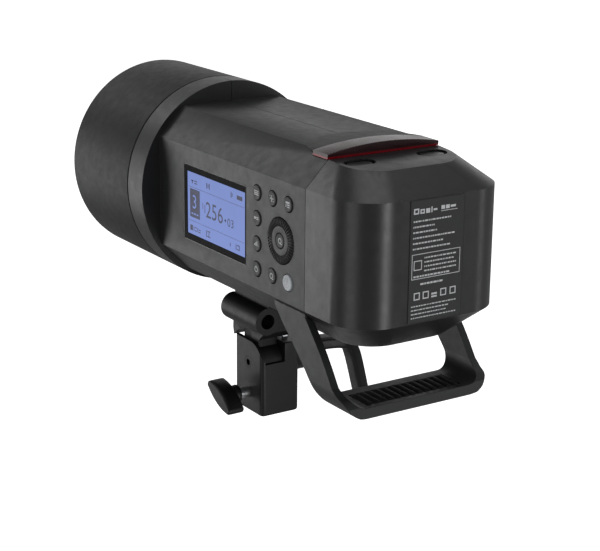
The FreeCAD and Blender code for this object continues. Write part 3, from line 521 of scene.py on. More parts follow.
@dataclass(frozen=True)
class RedWindow(Finish):
    """Dark red see-through plastic: nearly black on top, glowing red along its foot."""

    foot: float = AXIS + 47.2
    rise: float = 1.6
    glow: Colour = tone(170, 12, 30)

    def make(self, bench: Bench) -> bpy.types.Material:
        """The glow fades out over the rise above the foot; soft streaks under a thin clear coat."""
        bench.set(Coat_Weight=0.1, Coat_Roughness=0.22, Specular_IOR_Level=0.3)
        height = bench.spread(bench.height_of(2), self.foot * MM, (self.foot + self.rise) * MM, 0.0, 1.0)
        streak = bench.spread(bench.noise(1.0, 3.0, 0.5, bench.stretched((90, 90, 500))), 0.35, 0.65, 0.0, 1.0)
        body = bench.blend(streak, self.colour, scaled(self.colour, 1.5))
        bench.join(bench.blend(height, self.glow, body), "Base Color")
        bench.join(bench.spread(streak, 0, 1, self.roughness, self.roughness + 0.08), "Roughness")
        return bench.material


@dataclass(frozen=True)
class Backlight(Finish):
    """A display's lit ground: even blue with darker edges and the faint raster of its cells."""

    strength: float = 0.9

    def make(self, bench: Bench) -> bpy.types.Material:
        """Light with a slow fall towards one end and a fine raster."""
        bench.set(Emission_Strength=self.strength, Specular_IOR_Level=0.1)
        slow = bench.spread(bench.height_of(2), (AXIS - 19) * MM, (AXIS + 19) * MM, 0.0, 1.0)
        patch = bench.spread(bench.noise(30, 2.0), 0.3, 0.7, 0.0, 1.0)
        raster = bench.spread(bench.noise(2600, 1.0), 0.3, 0.7, 0.0, 0.35)
        ground = bench.blend(slow, scaled(self.colour, 1.06), scaled(self.colour, 0.94))
        ground = bench.blend(raster, ground, scaled(self.colour, 0.9))
        bench.join(bench.blend(patch, ground, scaled(self.colour, 1.04)), "Emission Color")
        bench.set(Base_Color=tone(16, 20, 34), Roughness=0.5)
        return bench.material


@dataclass(frozen=True)
class Print(Finish):
    """Screen-printed ink with slightly uneven cover."""

    def make(self, bench: Bench) -> bpy.types.Material:
        """Tone and roughness broken up at the scale of the screen mesh."""
        cover = bench.spread(bench.noise(1800, 3.0, 0.7), 0.35, 0.7, 0.0, 1.0)
        bench.join(bench.blend(cover, scaled(self.colour, 0.8), self.colour), "Base Color")
        bench.join(bench.spread(cover, 0, 1, self.roughness, self.roughness + 0.15), "Roughness")
        return bench.material


@dataclass(frozen=True)
class CircuitBoard(Finish):
    """Solder mask over copper tracks."""

    def make(self, bench: Bench) -> bpy.types.Material:
        """Tracks from square cells, with tinned pads at their centres."""
        bench.set(Coat_Weight=0.4, Coat_Roughness=0.15)
        cells = bench.cells(260)
        tracks = bench.spread(cells, 0.42, 0.46, 0.0, 1.0)
        pads = bench.spread(cells, 0.10, 0.13, 1.0, 0.0)
        mask = bench.blend(tracks, self.colour, scaled(self.colour, 1.8))
        bench.join(bench.blend(pads, mask, tone(190, 190, 180)), "Base Color")
        bench.join(bench.spread(pads, 0, 1, self.roughness, 0.25), "Roughness")
        bench.join(bench.relief(tracks, 0.03), "Normal")
        return bench.material


@dataclass(frozen=True)
class Lens(Finish):
    """A lamp's yellow phosphor under a clear lens."""

    def make(self, bench: Bench) -> bpy.types.Material:
        """A dotted phosphor under a clear coat."""
        bench.set(Coat_Weight=1.0, Coat_Roughness=0.03)
        dots = bench.spread(bench.cells(420), 0.2, 0.5, 0.0, 1.0)
        bench.join(bench.blend(dots, self.colour, scaled(self.colour, 0.6)), "Base Color")
        bench.join(bench.spread(dots, 0, 1, self.roughness, self.roughness + 0.2), "Roughness")
        return bench.material


SHELL = MouldedPlastic("shell_plastic", tone(34, 35, 36), 0.44)
CAP = MouldedPlastic("cap_plastic", tone(25, 25, 27), 0.52, relief=0.016, gloss=0.3)
BATTERY = MouldedPlastic("battery_plastic", tone(29, 29, 31), 0.33, grain=0.8, relief=0.012, gloss=0.5)
MOUNT = MouldedPlastic("mount_nylon", tone(19, 19, 21), 0.42, grain=0.7, relief=0.01, gloss=0.3)
HANDLE = MouldedPlastic("handle_plastic", tone(32, 33, 34), 0.46)
LABEL = MouldedPlastic("label_film", tone(38, 39, 40), 0.5, grain=0.3, relief=0.004, gloss=0.4)
INNER = MouldedPlastic("inner_plastic", tone(22, 22, 22), 0.6)
BUTTON = MouldedPlastic("button_plastic", tone(44, 45, 46), 0.5)
POWER = MouldedPlastic("power_plastic", tone(172, 177, 183), 0.32, mottle=0.05)
DIAL = MouldedPlastic("dial_plastic", tone(44, 45, 46), 0.45)
KNURL = MouldedPlastic("knurl_plastic", tone(40, 40, 41), 0.4)
BORDER = MouldedPlastic("display_border", tone(4, 4, 5), 0.35, grain=0.3, relief=0.0005, gloss=0.02)
# The display rim's light grey is partly painted highlight: a lighter tone that stands in for the bright line along
# its lit edge.
BEVEL = MouldedPlastic("display_bevel_painted_highlight", tone(78, 79, 80), 0.3, grain=0.3, relief=0.002)
# The ramp's tone is darker than the shell's, and that is painted shade: the ramp faces forward, away from the light.
RAMP_PAINTED_SHADE = MouldedPlastic("sensor_rise_painted_shade", tone(27, 24, 23), 0.56, gloss=0.3)
SCREW = Metal("polished_screw", tone(232, 234, 236), 0.3)
GRIP = Rubber("grip_rubber", tone(16, 16, 17), 0.6)
CHROME = Metal("chrome_plate", tone(205, 208, 212), 0.12)
STEEL = Metal("zinc_steel", tone(120, 121, 124), 0.35)
BRASS = Metal("turned_brass", tone(196, 160, 92), 0.3)
ALUMINIUM = Metal("machined_aluminium", tone(150, 151, 154), 0.34)
MIRROR = Metal("reflector_mirror", tone(222, 222, 224), 0.14, lines=(300.0, 300.0, 300.0))
BLACKENED = Metal("blackened_steel", tone(52, 52, 54), 0.42)
GLASS = ClearGlass("dome_glass", (0.95, 0.96, 0.97), 0.02)
RED = RedWindow("red_window", tone(38, 10, 14), 0.22)
SCREEN = Backlight("display_backlight", tone(126, 145, 208), 0.92)
SEGMENT = Print("display_segments", tone(40, 48, 98), 0.4)
FAINT = Print("display_lines", tone(84, 98, 160), 0.4)
WHITE = Print("white_print", tone(214, 216, 218), 0.5)
BOARD = CircuitBoard("circuit_board", tone(14, 70, 36), 0.4)
FERRITE = MouldedPlastic("potted_core", tone(70, 66, 60), 0.6, grain=1.0, relief=0.05)
WRAP = MouldedPlastic("cell_wrap", tone(34, 92, 130), 0.25, relief=0.004)
PHOSPHOR = Lens("lamp_phosphor", tone(235, 205, 90), 0.3)

SLOT_FINISH: dict[str, Finish] = {
    "body_plastic": SHELL, "cap_plastic": CAP, "battery_plastic": BATTERY, "label_film": LABEL,
    "mount_plastic": MOUNT, "handle_plastic": HANDLE, "grip_rubber": GRIP, "inner_plastic": INNER,
    "chrome_steel": CHROME, "screw_steel": STEEL, "brass": BRASS, "ring_aluminium": ALUMINIUM,
    "dish_mirror": MIRROR, "clear_glass": GLASS, "lamp_lens": PHOSPHOR, "display_window": BORDER,
    "display_unit": SCREEN, "circuit_board": BOARD, "core_ferrite": FERRITE, "cell_wrap": WRAP,
    "sensor_red": RED, "button_plastic": BUTTON, "power_plastic": POWER, "dial_plastic": DIAL,
}


class SubAssembly:
    """What every sub-assembly shares: putting a finished piece on its body."""

    def settle(self, piece: bpy.types.Object, finish: Finish, body: str, slot: str,
               replaces: Sequence[str] = ()) -> bpy.types.Object:
        """Dresses a piece, puts it on a body and hides the CAD nodes it stands for.

        Args:
            piece: the finished object at the origin.
            finish: its finish.
            body: the CAD body it rides on.
            slot: the record's material slot; not used.
            replaces: CAD nodes that it stands for.

        Returns:
            The same piece.
        """
        piece.data.materials.clear()
        piece.data.materials.append(finish.material())
        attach(piece, body)
        if replaces:
            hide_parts(*replaces)
        log.info("%s on %s", piece.name, body)
        return piece

    def soft_node(self, node: str, radius: float, finish: Finish, body: str, slot: str,
                  segments: int = 3, angle: float = 30.0) -> bpy.types.Object:
        """Replaces a CAD node with a copy whose edges are rounded."""
        piece = soften(merged_copy([node], f"{node}_rounded"), radius, segments, angle)
        return self.settle(piece, finish, body, slot, [node])


@dataclass
class CarriedParts(SubAssembly):
    """CAD nodes that keep their shape and only get a finish."""

    extra: dict[str, Finish] = field(default_factory=lambda: {
        "front_ring": ALUMINIUM, "fan_rotor": INNER, "umbrella_pad": INNER, "capacitor_bank": WRAP,
        "charge_transformer": FERRITE, "tilt_bolt": BLACKENED})

    def dress(self) -> None:
        """Gives each node the finish of its slot, or its own."""
        for row in frame["record"]["subparts"]:
            node = frame["nodes"][row["node"]]
            finish = self.extra.get(row["node"], SLOT_FINISH[row["material_slot"]])
            node.data.materials.clear()
            node.data.materials.append(finish.material())


@dataclass
class LampCap(SubAssembly):
    """Protective cap: a deep round cup with a soft front edge and a dished face."""

    radius: float = 62.5
    rear: float = -61.3
    front: float = -140.0
    wall: float = 2.5
    corner: float = 5.0

    def profile(self) -> np.ndarray:
        """Closed (radius, place along Y) outline of the wall: outside, dished face, then inside."""
        inner = self.radius - self.wall
        corners = [(self.radius, self.rear), (self.radius, self.front), (52.0, self.front),
                   (50.5, self.front + 0.9), (0.0, self.front + 0.9), (0.0, self.front + self.wall + 0.9),
                   (inner, self.front + self.wall + 0.9), (inner, self.rear)]
        radii = [0.7, self.corner, 0.8, 0.8, 1e-4, 1e-4, 3.0, 0.5]
        return rounded_outline(corners, radii, 9)

    def build(self) -> None:
        """Turns the cup."""
        cup = turned(self.profile(), (0, 0, AXIS), Facing.REAR, 176)
        piece = Surface().grid(cup, wrap_rows=True, wrap_columns=True).build("cap_cup")
        self.settle(piece, CAP, "cap", "cap_plastic", ["lamp_cap"])


@dataclass
class BodyShells(SubAssembly):
    """The two shell halves with moulded edges, and the sensor window on top."""

    half: float = 36.3
    bend: float = 197.0
    crown: float = 53.3
    top: float = 50.0
    ramp_front: float = 110.0
    ramp_radius: float = 37.2
    front: float = 102.8
    rear: float = 116.8
    foot: float = 47.3
    root: float = 0.6

    def crown_height(self, x: np.ndarray) -> np.ndarray:
        """Height above the axis of the sensor's crown: an arc of the bend radius across the body."""
        return self.crown - self.bend + np.sqrt(self.bend ** 2 - x ** 2)

    def ramp(self) -> bpy.types.Object:
        """The dished rise in front of the sensor.

        Its front line is a circle's arc on the flat top; from there straight rulings along Y rise to the crown.
        """
        x = np.linspace(-self.half, self.half, 97)[None, :]
        start = self.ramp_front - np.sqrt(self.ramp_radius ** 2 - x ** 2)
        share = np.linspace(0, 1, 33)[:, None]
        y = start + (self.front - start) * share
        rise = np.maximum(self.crown_height(x) - self.top, 0.02)
        z = AXIS + self.top + rise * share
        face = np.stack([np.broadcast_to(x, y.shape), y, z], axis=-1)
        base = face.copy()
        base[..., 2] = AXIS + self.top - self.root
        rim = np.concatenate([face[0], face[1:-1, -1], face[-1][::-1], face[1:-1, 0][::-1]])
        low = rim.copy()
        low[:, 2] = AXIS + self.top - self.root
        return (Surface().grid(face).grid(base).grid(np.stack([rim, low]), wrap_columns=True)
                .build("sensor_ramp", 40.0))

    def window(self) -> bpy.types.Object:
        """The red bar: its section is swept across X, the top following the crown.

        Section heights are the crown, a small round at the rear edge, a rear wall that leans in and the foot.
        """
        x = np.linspace(-self.half, self.half, 73)
        crown = self.crown_height(x)
        turn = np.linspace(0, np.pi / 2, 6)
        y = np.concatenate([[self.front], [self.front], self.rear - 0.6 + 0.6 * np.sin(turn),
                            [self.rear - 0.35], [self.rear - 0.35, self.front]])
        drop = np.concatenate([[0.0], [0.0], 0.6 * (1 - np.cos(turn)), [0.0], [0.0, 0.0]])
        z = AXIS + crown[:, None] - drop[None, :]
        z[:, -3:] = AXIS + self.foot
        z[:, 0] = AXIS + self.foot + 1.0
        points = np.stack([np.broadcast_to(x[:, None], z.shape), np.broadcast_to(y[None, :], z.shape), z], axis=-1)
        return Surface().tube(points).build("sensor_bar", 40.0)

    def build(self) -> None:
        """Builds both halves, the ramp and the window."""
        for side in ("left_shell", "right_shell"):
            self.soft_node(side, 0.45, SHELL, "head", "body_plastic", 2)
        # The ramp carries a darker tone as painted shade.
        self.settle(self.ramp(), RAMP_PAINTED_SHADE, "head", "body_plastic", ["sensor_bezel"])
        self.settle(self.window(), RED, "head", "sensor_red", ["sensor_window"])


@dataclass
class DisplayUnit(SubAssembly):
    """Display window: black border, lit ground and generic readings."""

    front: float = -12.4
    rear: float = 57.6
    half: float = 22.4
    face: float = 49.75
    lit_front: float = -9.2
    lit_rear: float = 55.8
    lit_half: float = 18.6

    def build(self) -> None:
        """Builds the border, the lit ground, the readings and the dividing lines."""
        low, high = AXIS - self.half, AXIS + self.half
        lit_low, lit_high = AXIS - self.lit_half, AXIS + self.lit_half
        outer = rectangle(self.front, self.rear, low, high, 1.2)
        inner = rectangle(self.lit_front, self.lit_rear, lit_low, lit_high, 0.4)
        border = Surface().ring(outer, inner, 48.4, self.face, Facing.LEFT, 0.15).build("display_border")
        # This rim ring takes that lighter tone, which is partly painted highlight along the display's edge.
        rim = rectangle(self.front - 0.7, self.rear + 0.3, low - 0.3, high + 0.3, 1.4)
        bevel = Surface().ring(rim, inset(outer, -0.05), 49.0, self.face + 0.3, Facing.LEFT, 0.25)
        self.settle(bevel.build("display_bevel_painted_highlight"), BEVEL, "head", "body_plastic")
        self.settle(border, BORDER, "head", "display_window", ["lcd_window"])
        ground = Surface().slab(inset(inner, -0.2), 48.5, self.face - 0.25, Facing.LEFT).build("display_ground")
        self.settle(ground, SCREEN, "head", "display_unit")
        self.settle(self.readings(), SEGMENT, "head", "display_unit")
        self.settle(self.light_marks(), SCREEN, "head", "display_unit")
        self.settle(self.lines(), FAINT, "head", "display_unit")

    def mark_box(self, u: float, v: float, wide: float, high: float) -> tuple[float, float, float, float]:
        """A rectangle by its lower left corner, from the lit area's front edge and the axis."""
        low = self.lit_front + u
        return (low, low + wide, AXIS + v, AXIS + v + high)

    def readings(self) -> bpy.types.Object:
        """The dark marks: digits, the group block and small status signs."""
        sheet = Surface()
        base = self.face - 0.24
        for text, size, u, v, stretch in (("256", 9.8, 20.8, -4.8, 1.0), ("1", 4.0, 16.4, -0.8, 1.0),
                                          ("03", 5.0, 45.4, -4.8, 1.1)):
            place = (self.lit_front + u, AXIS + v, base)
            for corner in written(text, size, place, Facing.LEFT, stretch=stretch):
                sheet.face(corner)
        box = self.mark_box
        marks = [(2.8, -8.2, 11.4, 17.0),
                 (4.4, 13.3, 2.4, 0.7), (5.2, 12.0, 0.8, 2.0), (8.0, 12.2, 3.2, 0.6), (8.0, 13.6, 3.2, 0.6),
                  (22.0, 12.2, 0.9, 3.4), (23.6, 13.0, 0.7, 2.0), (24.9, 12.2, 0.9, 3.4),
                  (49.4, 12.6, 0.7, 3.4), (50.6, 13.3, 0.7, 2.0), (56.0, 13.0, 6.0, 2.4),
                  (2.8, -16.4, 3.0, 3.3), (6.8, -16.2, 0.6, 2.6), (8.2, -16.2, 2.0, 0.6), (8.2, -14.2, 2.0, 0.6),
                  (11.2, -16.2, 0.6, 2.6), (12.6, -16.2, 2.2, 0.6), (12.6, -14.8, 2.2, 0.6),
                  (21.6, -16.4, 0.7, 3.8), (22.9, -13.3, 3.2, 0.7), (22.9, -16.4, 3.2, 0.7),
                  (24.2, -15.4, 0.7, 1.7), (48.4, -15.8, 0.7, 2.0), (54.8, -16.2, 0.7, 3.0),
                  (56.2, -16.2, 2.2, 0.6), (56.2, -13.8, 2.2, 0.6), (58.4, -16.2, 0.6, 3.0),
                  (42.2, -2.4, 2.2, 0.6), (43.0, -3.2, 0.6, 2.2), (19.8, -2.6, 0.6, 4.6)]
        sheet.bars([box(*entry) for entry in marks], base, base + PRINT_LIFT, Facing.LEFT)
        return sheet.build("display_readings")

    def light_marks(self) -> bpy.types.Object:
        """The lit digit and dashes on the dark group block."""
        sheet = Surface()
        high = self.face - 0.19
        for corner in written("3", 8.4, (self.lit_front + 5.2, AXIS - 2.6, high), Facing.LEFT):
            sheet.face(corner)
        dashes = [self.mark_box(u, -6.4, 2.2, 0.9) for u in (4.4, 7.4, 10.4)]
        sheet.bars(dashes, high, high + 0.03, Facing.LEFT)
        return sheet.build("display_light_marks")

    def lines(self) -> bpy.types.Object:
        """Thin lines that divide the rows."""
        base = self.face - 0.245
        rows = [self.mark_box(1.2, 9.6, 62.6, 0.28), self.mark_box(1.2, -10.6, 62.6, 0.28)]
        return Surface().bars(rows, base, base + 0.04, Facing.LEFT).build("display_rules")


class Legend(Enum):
    """Plain signs printed on the buttons."""

    BARS = 1
    CROSS = 2
    BOX = 3
    DASH = 4
    STEPS = 5
    ARC = 6
    LOOP = 7
    STROKE = 8


@dataclass
class Buttons(SubAssembly):
    """Round push buttons with dished faces and plain signs."""

    radius: float = 4.2
    power_radius: float = 4.6
    face: float = 50.7
    back: float = 47.4
    columns: Sequence[float] = (69.2, 84.9, 100.8)
    rows: Sequence[float] = (21.6, 7.2, -7.2, -21.6)

    def cap(self, name: str, radius: float, y: float, z: float) -> bpy.types.Object:
        """A turned button: a face dished by a parabola, a quarter-round rim and a plain skirt."""
        r = np.linspace(0, radius - 0.7, 8)
        dish = np.stack([r, self.face - 0.22 * (1 - (r / (radius - 0.7)) ** 2)], axis=-1)
        turn = np.linspace(0, np.pi / 2, 6)[1:]
        rim = np.stack([radius - 0.7 + 0.7 * np.sin(turn), self.face - 0.7 + 0.7 * np.cos(turn)], axis=-1)
        skirt = np.array([(radius, self.back), (0.0, self.back)])
        profile = np.vstack([dish, rim, skirt])
        return Surface().grid(turned(profile, (0, y, z), Facing.LEFT, 56), wrap_rows=True).build(name)

    def sign(self, name: str, legend: Legend, y: float, z: float) -> bpy.types.Object:
        """The printed sign on a button's face."""
        sheet = Surface()
        low, high = self.face - 0.24, self.face - 0.1

        def bars(*boxes: Sequence[float]) -> None:
            sheet.bars([(y + a, y + b, z + c, z + d) for a, b, c, d in boxes], low, high, Facing.LEFT)

        def hoop(radius: float, wide: float) -> None:
            sheet.ring(circle(y, z, radius), circle(y, z, radius - wide), low, high, Facing.LEFT, 0.02)

        if legend is Legend.BARS:
            bars((-2.2, 2.2, 0.75, 1.3), (-2.2, 2.2, -0.3, 0.3), (-2.2, 2.2, -1.3, -0.75))
        elif legend is Legend.CROSS:
            bars((-1.7, 1.7, -0.28, 0.28), (-0.28, 0.28, -1.7, 1.7), (-1.9, -1.3, 1.2, 1.7), (1.3, 1.9, -1.7, -1.2))
        elif legend is Legend.BOX:
            bars((-1.9, 1.9, 0.5, 1.6), (-1.9, -1.3, -1.6, 0.1), (-0.6, 1.9, -0.6, 0.1), (-0.6, 1.9, -1.6, -1.1))
        elif legend is Legend.DASH:
            bars((-2.2, -0.4, -0.5, 0.9), (0.1, 2.2, 0.3, 0.9), (0.1, 2.2, -0.6, -0.1))
        elif legend is Legend.STEPS:
            bars((-2.0, -1.2, -1.1, -0.1), (-0.8, 0.0, -1.1, 0.7), (0.4, 1.2, -1.1, 1.5), (1.6, 2.1, -1.1, -0.6))
        elif legend is Legend.ARC:
            hoop(1.7, 0.5)
            bars((-0.25, 0.25, 0.2, 2.0))
        elif legend is Legend.LOOP:
            hoop(1.6, 0.55)
            bars((0.9, 2.1, -1.9, -1.35))
        else:
            bars((-0.35, 0.35, 0.0, 2.0))
            hoop(1.9, 0.45)
        return sheet.build(name)

    def build(self) -> None:
        """Builds the seven panel buttons, the power button and the dial's centre button."""
        c, r = self.columns, self.rows
        places = [(c[0], r[0], Legend.BARS), (c[1], r[0], Legend.CROSS), (c[2], r[0], Legend.BOX),
                  (c[0], r[1], Legend.DASH), (c[0], r[2], Legend.STEPS), (c[0], r[3], Legend.ARC),
                  (c[1], r[3], Legend.LOOP)]
        for number, (y, z, legend) in enumerate(places, start=1):
            node = f"panel_button_{number}"
            self.settle(self.cap(f"button_cap_{number}", self.radius, y, AXIS + z), BUTTON, node,
                        "button_plastic", [node])
            self.settle(self.sign(f"button_sign_{number}", legend, y, AXIS + z), WHITE, node, "button_plastic")
        y, z = c[2], AXIS + r[3]
        self.settle(self.cap("power_cap", self.power_radius, y, z), POWER, "power_button", "power_plastic",
                    ["power_button"])
        self.settle(self.sign("power_sign", Legend.STROKE, y, z), WHITE, "power_button", "power_plastic")
        self.settle(self.cap("centre_cap", self.radius - 0.05, 93.3, AXIS), BUTTON, "dial_button",
                    "button_plastic", ["dial_button"])
        self.settle(self.sign("centre_sign", Legend.LOOP, 93.3, AXIS), WHITE, "dial_button", "button_plastic")


@dataclass
class Dial(SubAssembly):
    """Selector dial: a ribbed dark ring round a flat disc."""

    y: float = 93.3
    outer: float = 12.7
    disc: float = 8.3
    hole: float = 4.45
    back: float = 47.6
    face: float = 51.1
    teeth: int = 44

    def ribbed_ring(self) -> bpy.types.Object:
        """The ring, whose height rises and falls with the angle.

        Height is the face less half a millimetre times one minus a steepened cosine of teeth times the angle,
        and the ribs fade at the ring's two edges.
        """
        turn = np.linspace(0, 2 * np.pi, self.teeth * 12, endpoint=False)[:, None]
        wave = np.tanh(2.2 * np.cos(self.teeth * turn)) / np.tanh(2.2)
        radius = np.array([self.disc, self.disc, self.disc + 0.4, self.disc + 1.0, 10.5, self.outer - 0.9,
                           self.outer - 0.3, self.outer, self.outer])[None, :]
        level = np.array([self.back, self.face - 0.9, self.face - 0.35, self.face, self.face, self.face - 0.05,
                          self.face - 0.4, self.face - 1.0, self.back])[None, :]
        ribs = np.array([0, 0.0, 0.3, 1, 1, 1, 1, 0.6, 0])[None, :]
        x = level - 0.5 * (1 - wave) * ribs
        rim = radius - 0.16 * (1 - wave) * np.array([0, 0, 0, 0, 0, 0.2, 1, 1, 1])[None, :]
        points = np.stack([np.broadcast_to(x, rim.shape), self.y + rim * np.cos(turn), AXIS + rim * np.sin(turn)],
                          axis=-1)
        return Surface().grid(points, wrap_rows=True, wrap_columns=True).build("dial_ring", 50.0)

    def build(self) -> None:
        """Builds the ribbed ring and the flat disc inside it."""
        self.settle(self.ribbed_ring(), KNURL, "dial", "dial_plastic", ["dial"])
        profile = rounded_outline([(self.hole, self.back), (self.disc - 0.1, self.back),
                                   (self.disc - 0.1, self.face - 0.55), (self.hole, self.face - 0.55)],
                                  [0.05, 0.05, 0.3, 0.25], 5)
        disc = turned(profile, (0, self.y, AXIS), Facing.LEFT, 96)
        self.settle(Surface().grid(disc, wrap_rows=True, wrap_columns=True).build("dial_disc"), DIAL, "dial",
                    "dial_plastic")


@dataclass
class BatteryPack(SubAssembly):
    """Battery case with moulded edges, oval releases and a label with plain print."""

    label_face: float = 164.61
    half_wide: float = 17.5
    half_high: float = 32.8

    def words(self, dice: np.random.Generator, start: float, end: float, v: float,
              high: float) -> list[tuple[float, float, float, float]]:
        """One printed row as word-long dashes from start to end, in label coordinates."""
        lengths = dice.uniform(0.5, 2.2, 40)
        ends = start + np.cumsum(lengths + 0.45)
        begins = ends - lengths - 0.45
        kept = ends < end
        return [(a, b, v, v + high) for a, b in zip(begins[kept], (begins + lengths)[kept])]

    def outline_box(self, low_u: float, high_u: float, low_v: float, high_v: float,
                    line: float = 0.35) -> list[tuple[float, float, float, float]]:
        """The four sides of a printed frame."""
        return [(low_u, high_u, low_v, low_v + line), (low_u, high_u, high_v - line, high_v),
                (low_u, low_u + line, low_v + line, high_v - line),
                (high_u - line, high_u, low_v + line, high_v - line)]

    def label_print(self) -> bpy.types.Object:
        """Dashes, frames and plain shapes in place of wording. Label u runs from the reader's left."""
        dice = np.random.default_rng(11)
        boxes = self.outline_box(-15.5, -12.2, 25.4, 28.4, 0.75) + self.outline_box(-11.4, -8.6, 25.4, 27.8, 0.7)
        boxes += [(-7.8, -5.2, 25.4, 27.8), (-4.4, -3.7, 25.4, 28.4), (-3.0, -0.6, 26.2, 27.2),
                  (2.0, 4.4, 26.2, 28.2), (5.0, 7.4, 26.2, 28.2), (8.0, 11.4, 26.6, 27.8), (2.0, 12.6, 25.2, 25.5)]
        rows = [(21.2, 11.0), (18.3, -1.0), (15.4, 0.5), (12.5, 13.5), (9.6, 5.0), (6.7, 10.0)]
        for v, end in rows:
            boxes += self.words(dice, -15.5, end, v, 0.8)
        boxes += self.outline_box(-15.9, 15.4, -9.2, 4.3)
        boxes += self.outline_box(-14.6, -9.4, -4.4, 0.8, 0.45)
        for v in (1.4, -0.9, -3.2, -5.5):
            boxes += self.words(dice, -7.8, 14.0, v, 0.75)
        boxes += self.words(dice, -14.6, 10.0, -8.2, 0.9)
        boxes += self.words(dice, -10.0, 6.0, -12.6, 1.0)
        for u in (-14.0, -8.2, 3.2, 9.4):
            boxes += self.outline_box(u, u + 3.9, -20.4, -16.4, 0.6)
        boxes += [(-2.6, 1.0, -18.9, -17.9), (-2.6, 1.0, -20.4, -19.5)]
        for v in (-24.0, -26.1, -28.2, -30.3):
            boxes += self.words(dice, -15.5, 15.4 - 6.0 * dice.random(), v, 0.6)
        mirrored = [(-high, -low, AXIS + a, AXIS + b) for low, high, a, b in boxes]
        return (Surface().bars(mirrored, self.label_face - 0.02, self.label_face + 0.05, Facing.REAR)
                .build("label_print"))

    def label_edge(self) -> bpy.types.Object:
        """The film's thin raised border."""
        u, v = self.half_wide - 0.05, self.half_high - 0.05
        outer = rectangle(-u, u, AXIS - v, AXIS + v, 0.8)
        inner = rectangle(-u + 0.4, u - 0.4, AXIS - v + 0.4, AXIS + v - 0.4, 0.5)
        return (Surface().ring(outer, inner, self.label_face - 0.1, self.label_face + 0.06, Facing.REAR, 0.03)
                .build("label_border"))

    def build(self) -> None:
        """Builds the case, the label's border and print, and the releases."""
        self.soft_node("battery_case", 0.5, BATTERY, "battery", "battery_plastic", 2, 24.0)
        self.settle(self.label_print(), WHITE, "battery", "label_film")
        self.settle(self.label_edge(), INNER, "battery", "label_film")
        for side in ("left_release", "right_release"):
            self.soft_node(side, 0.35, BATTERY, side, "button_plastic")


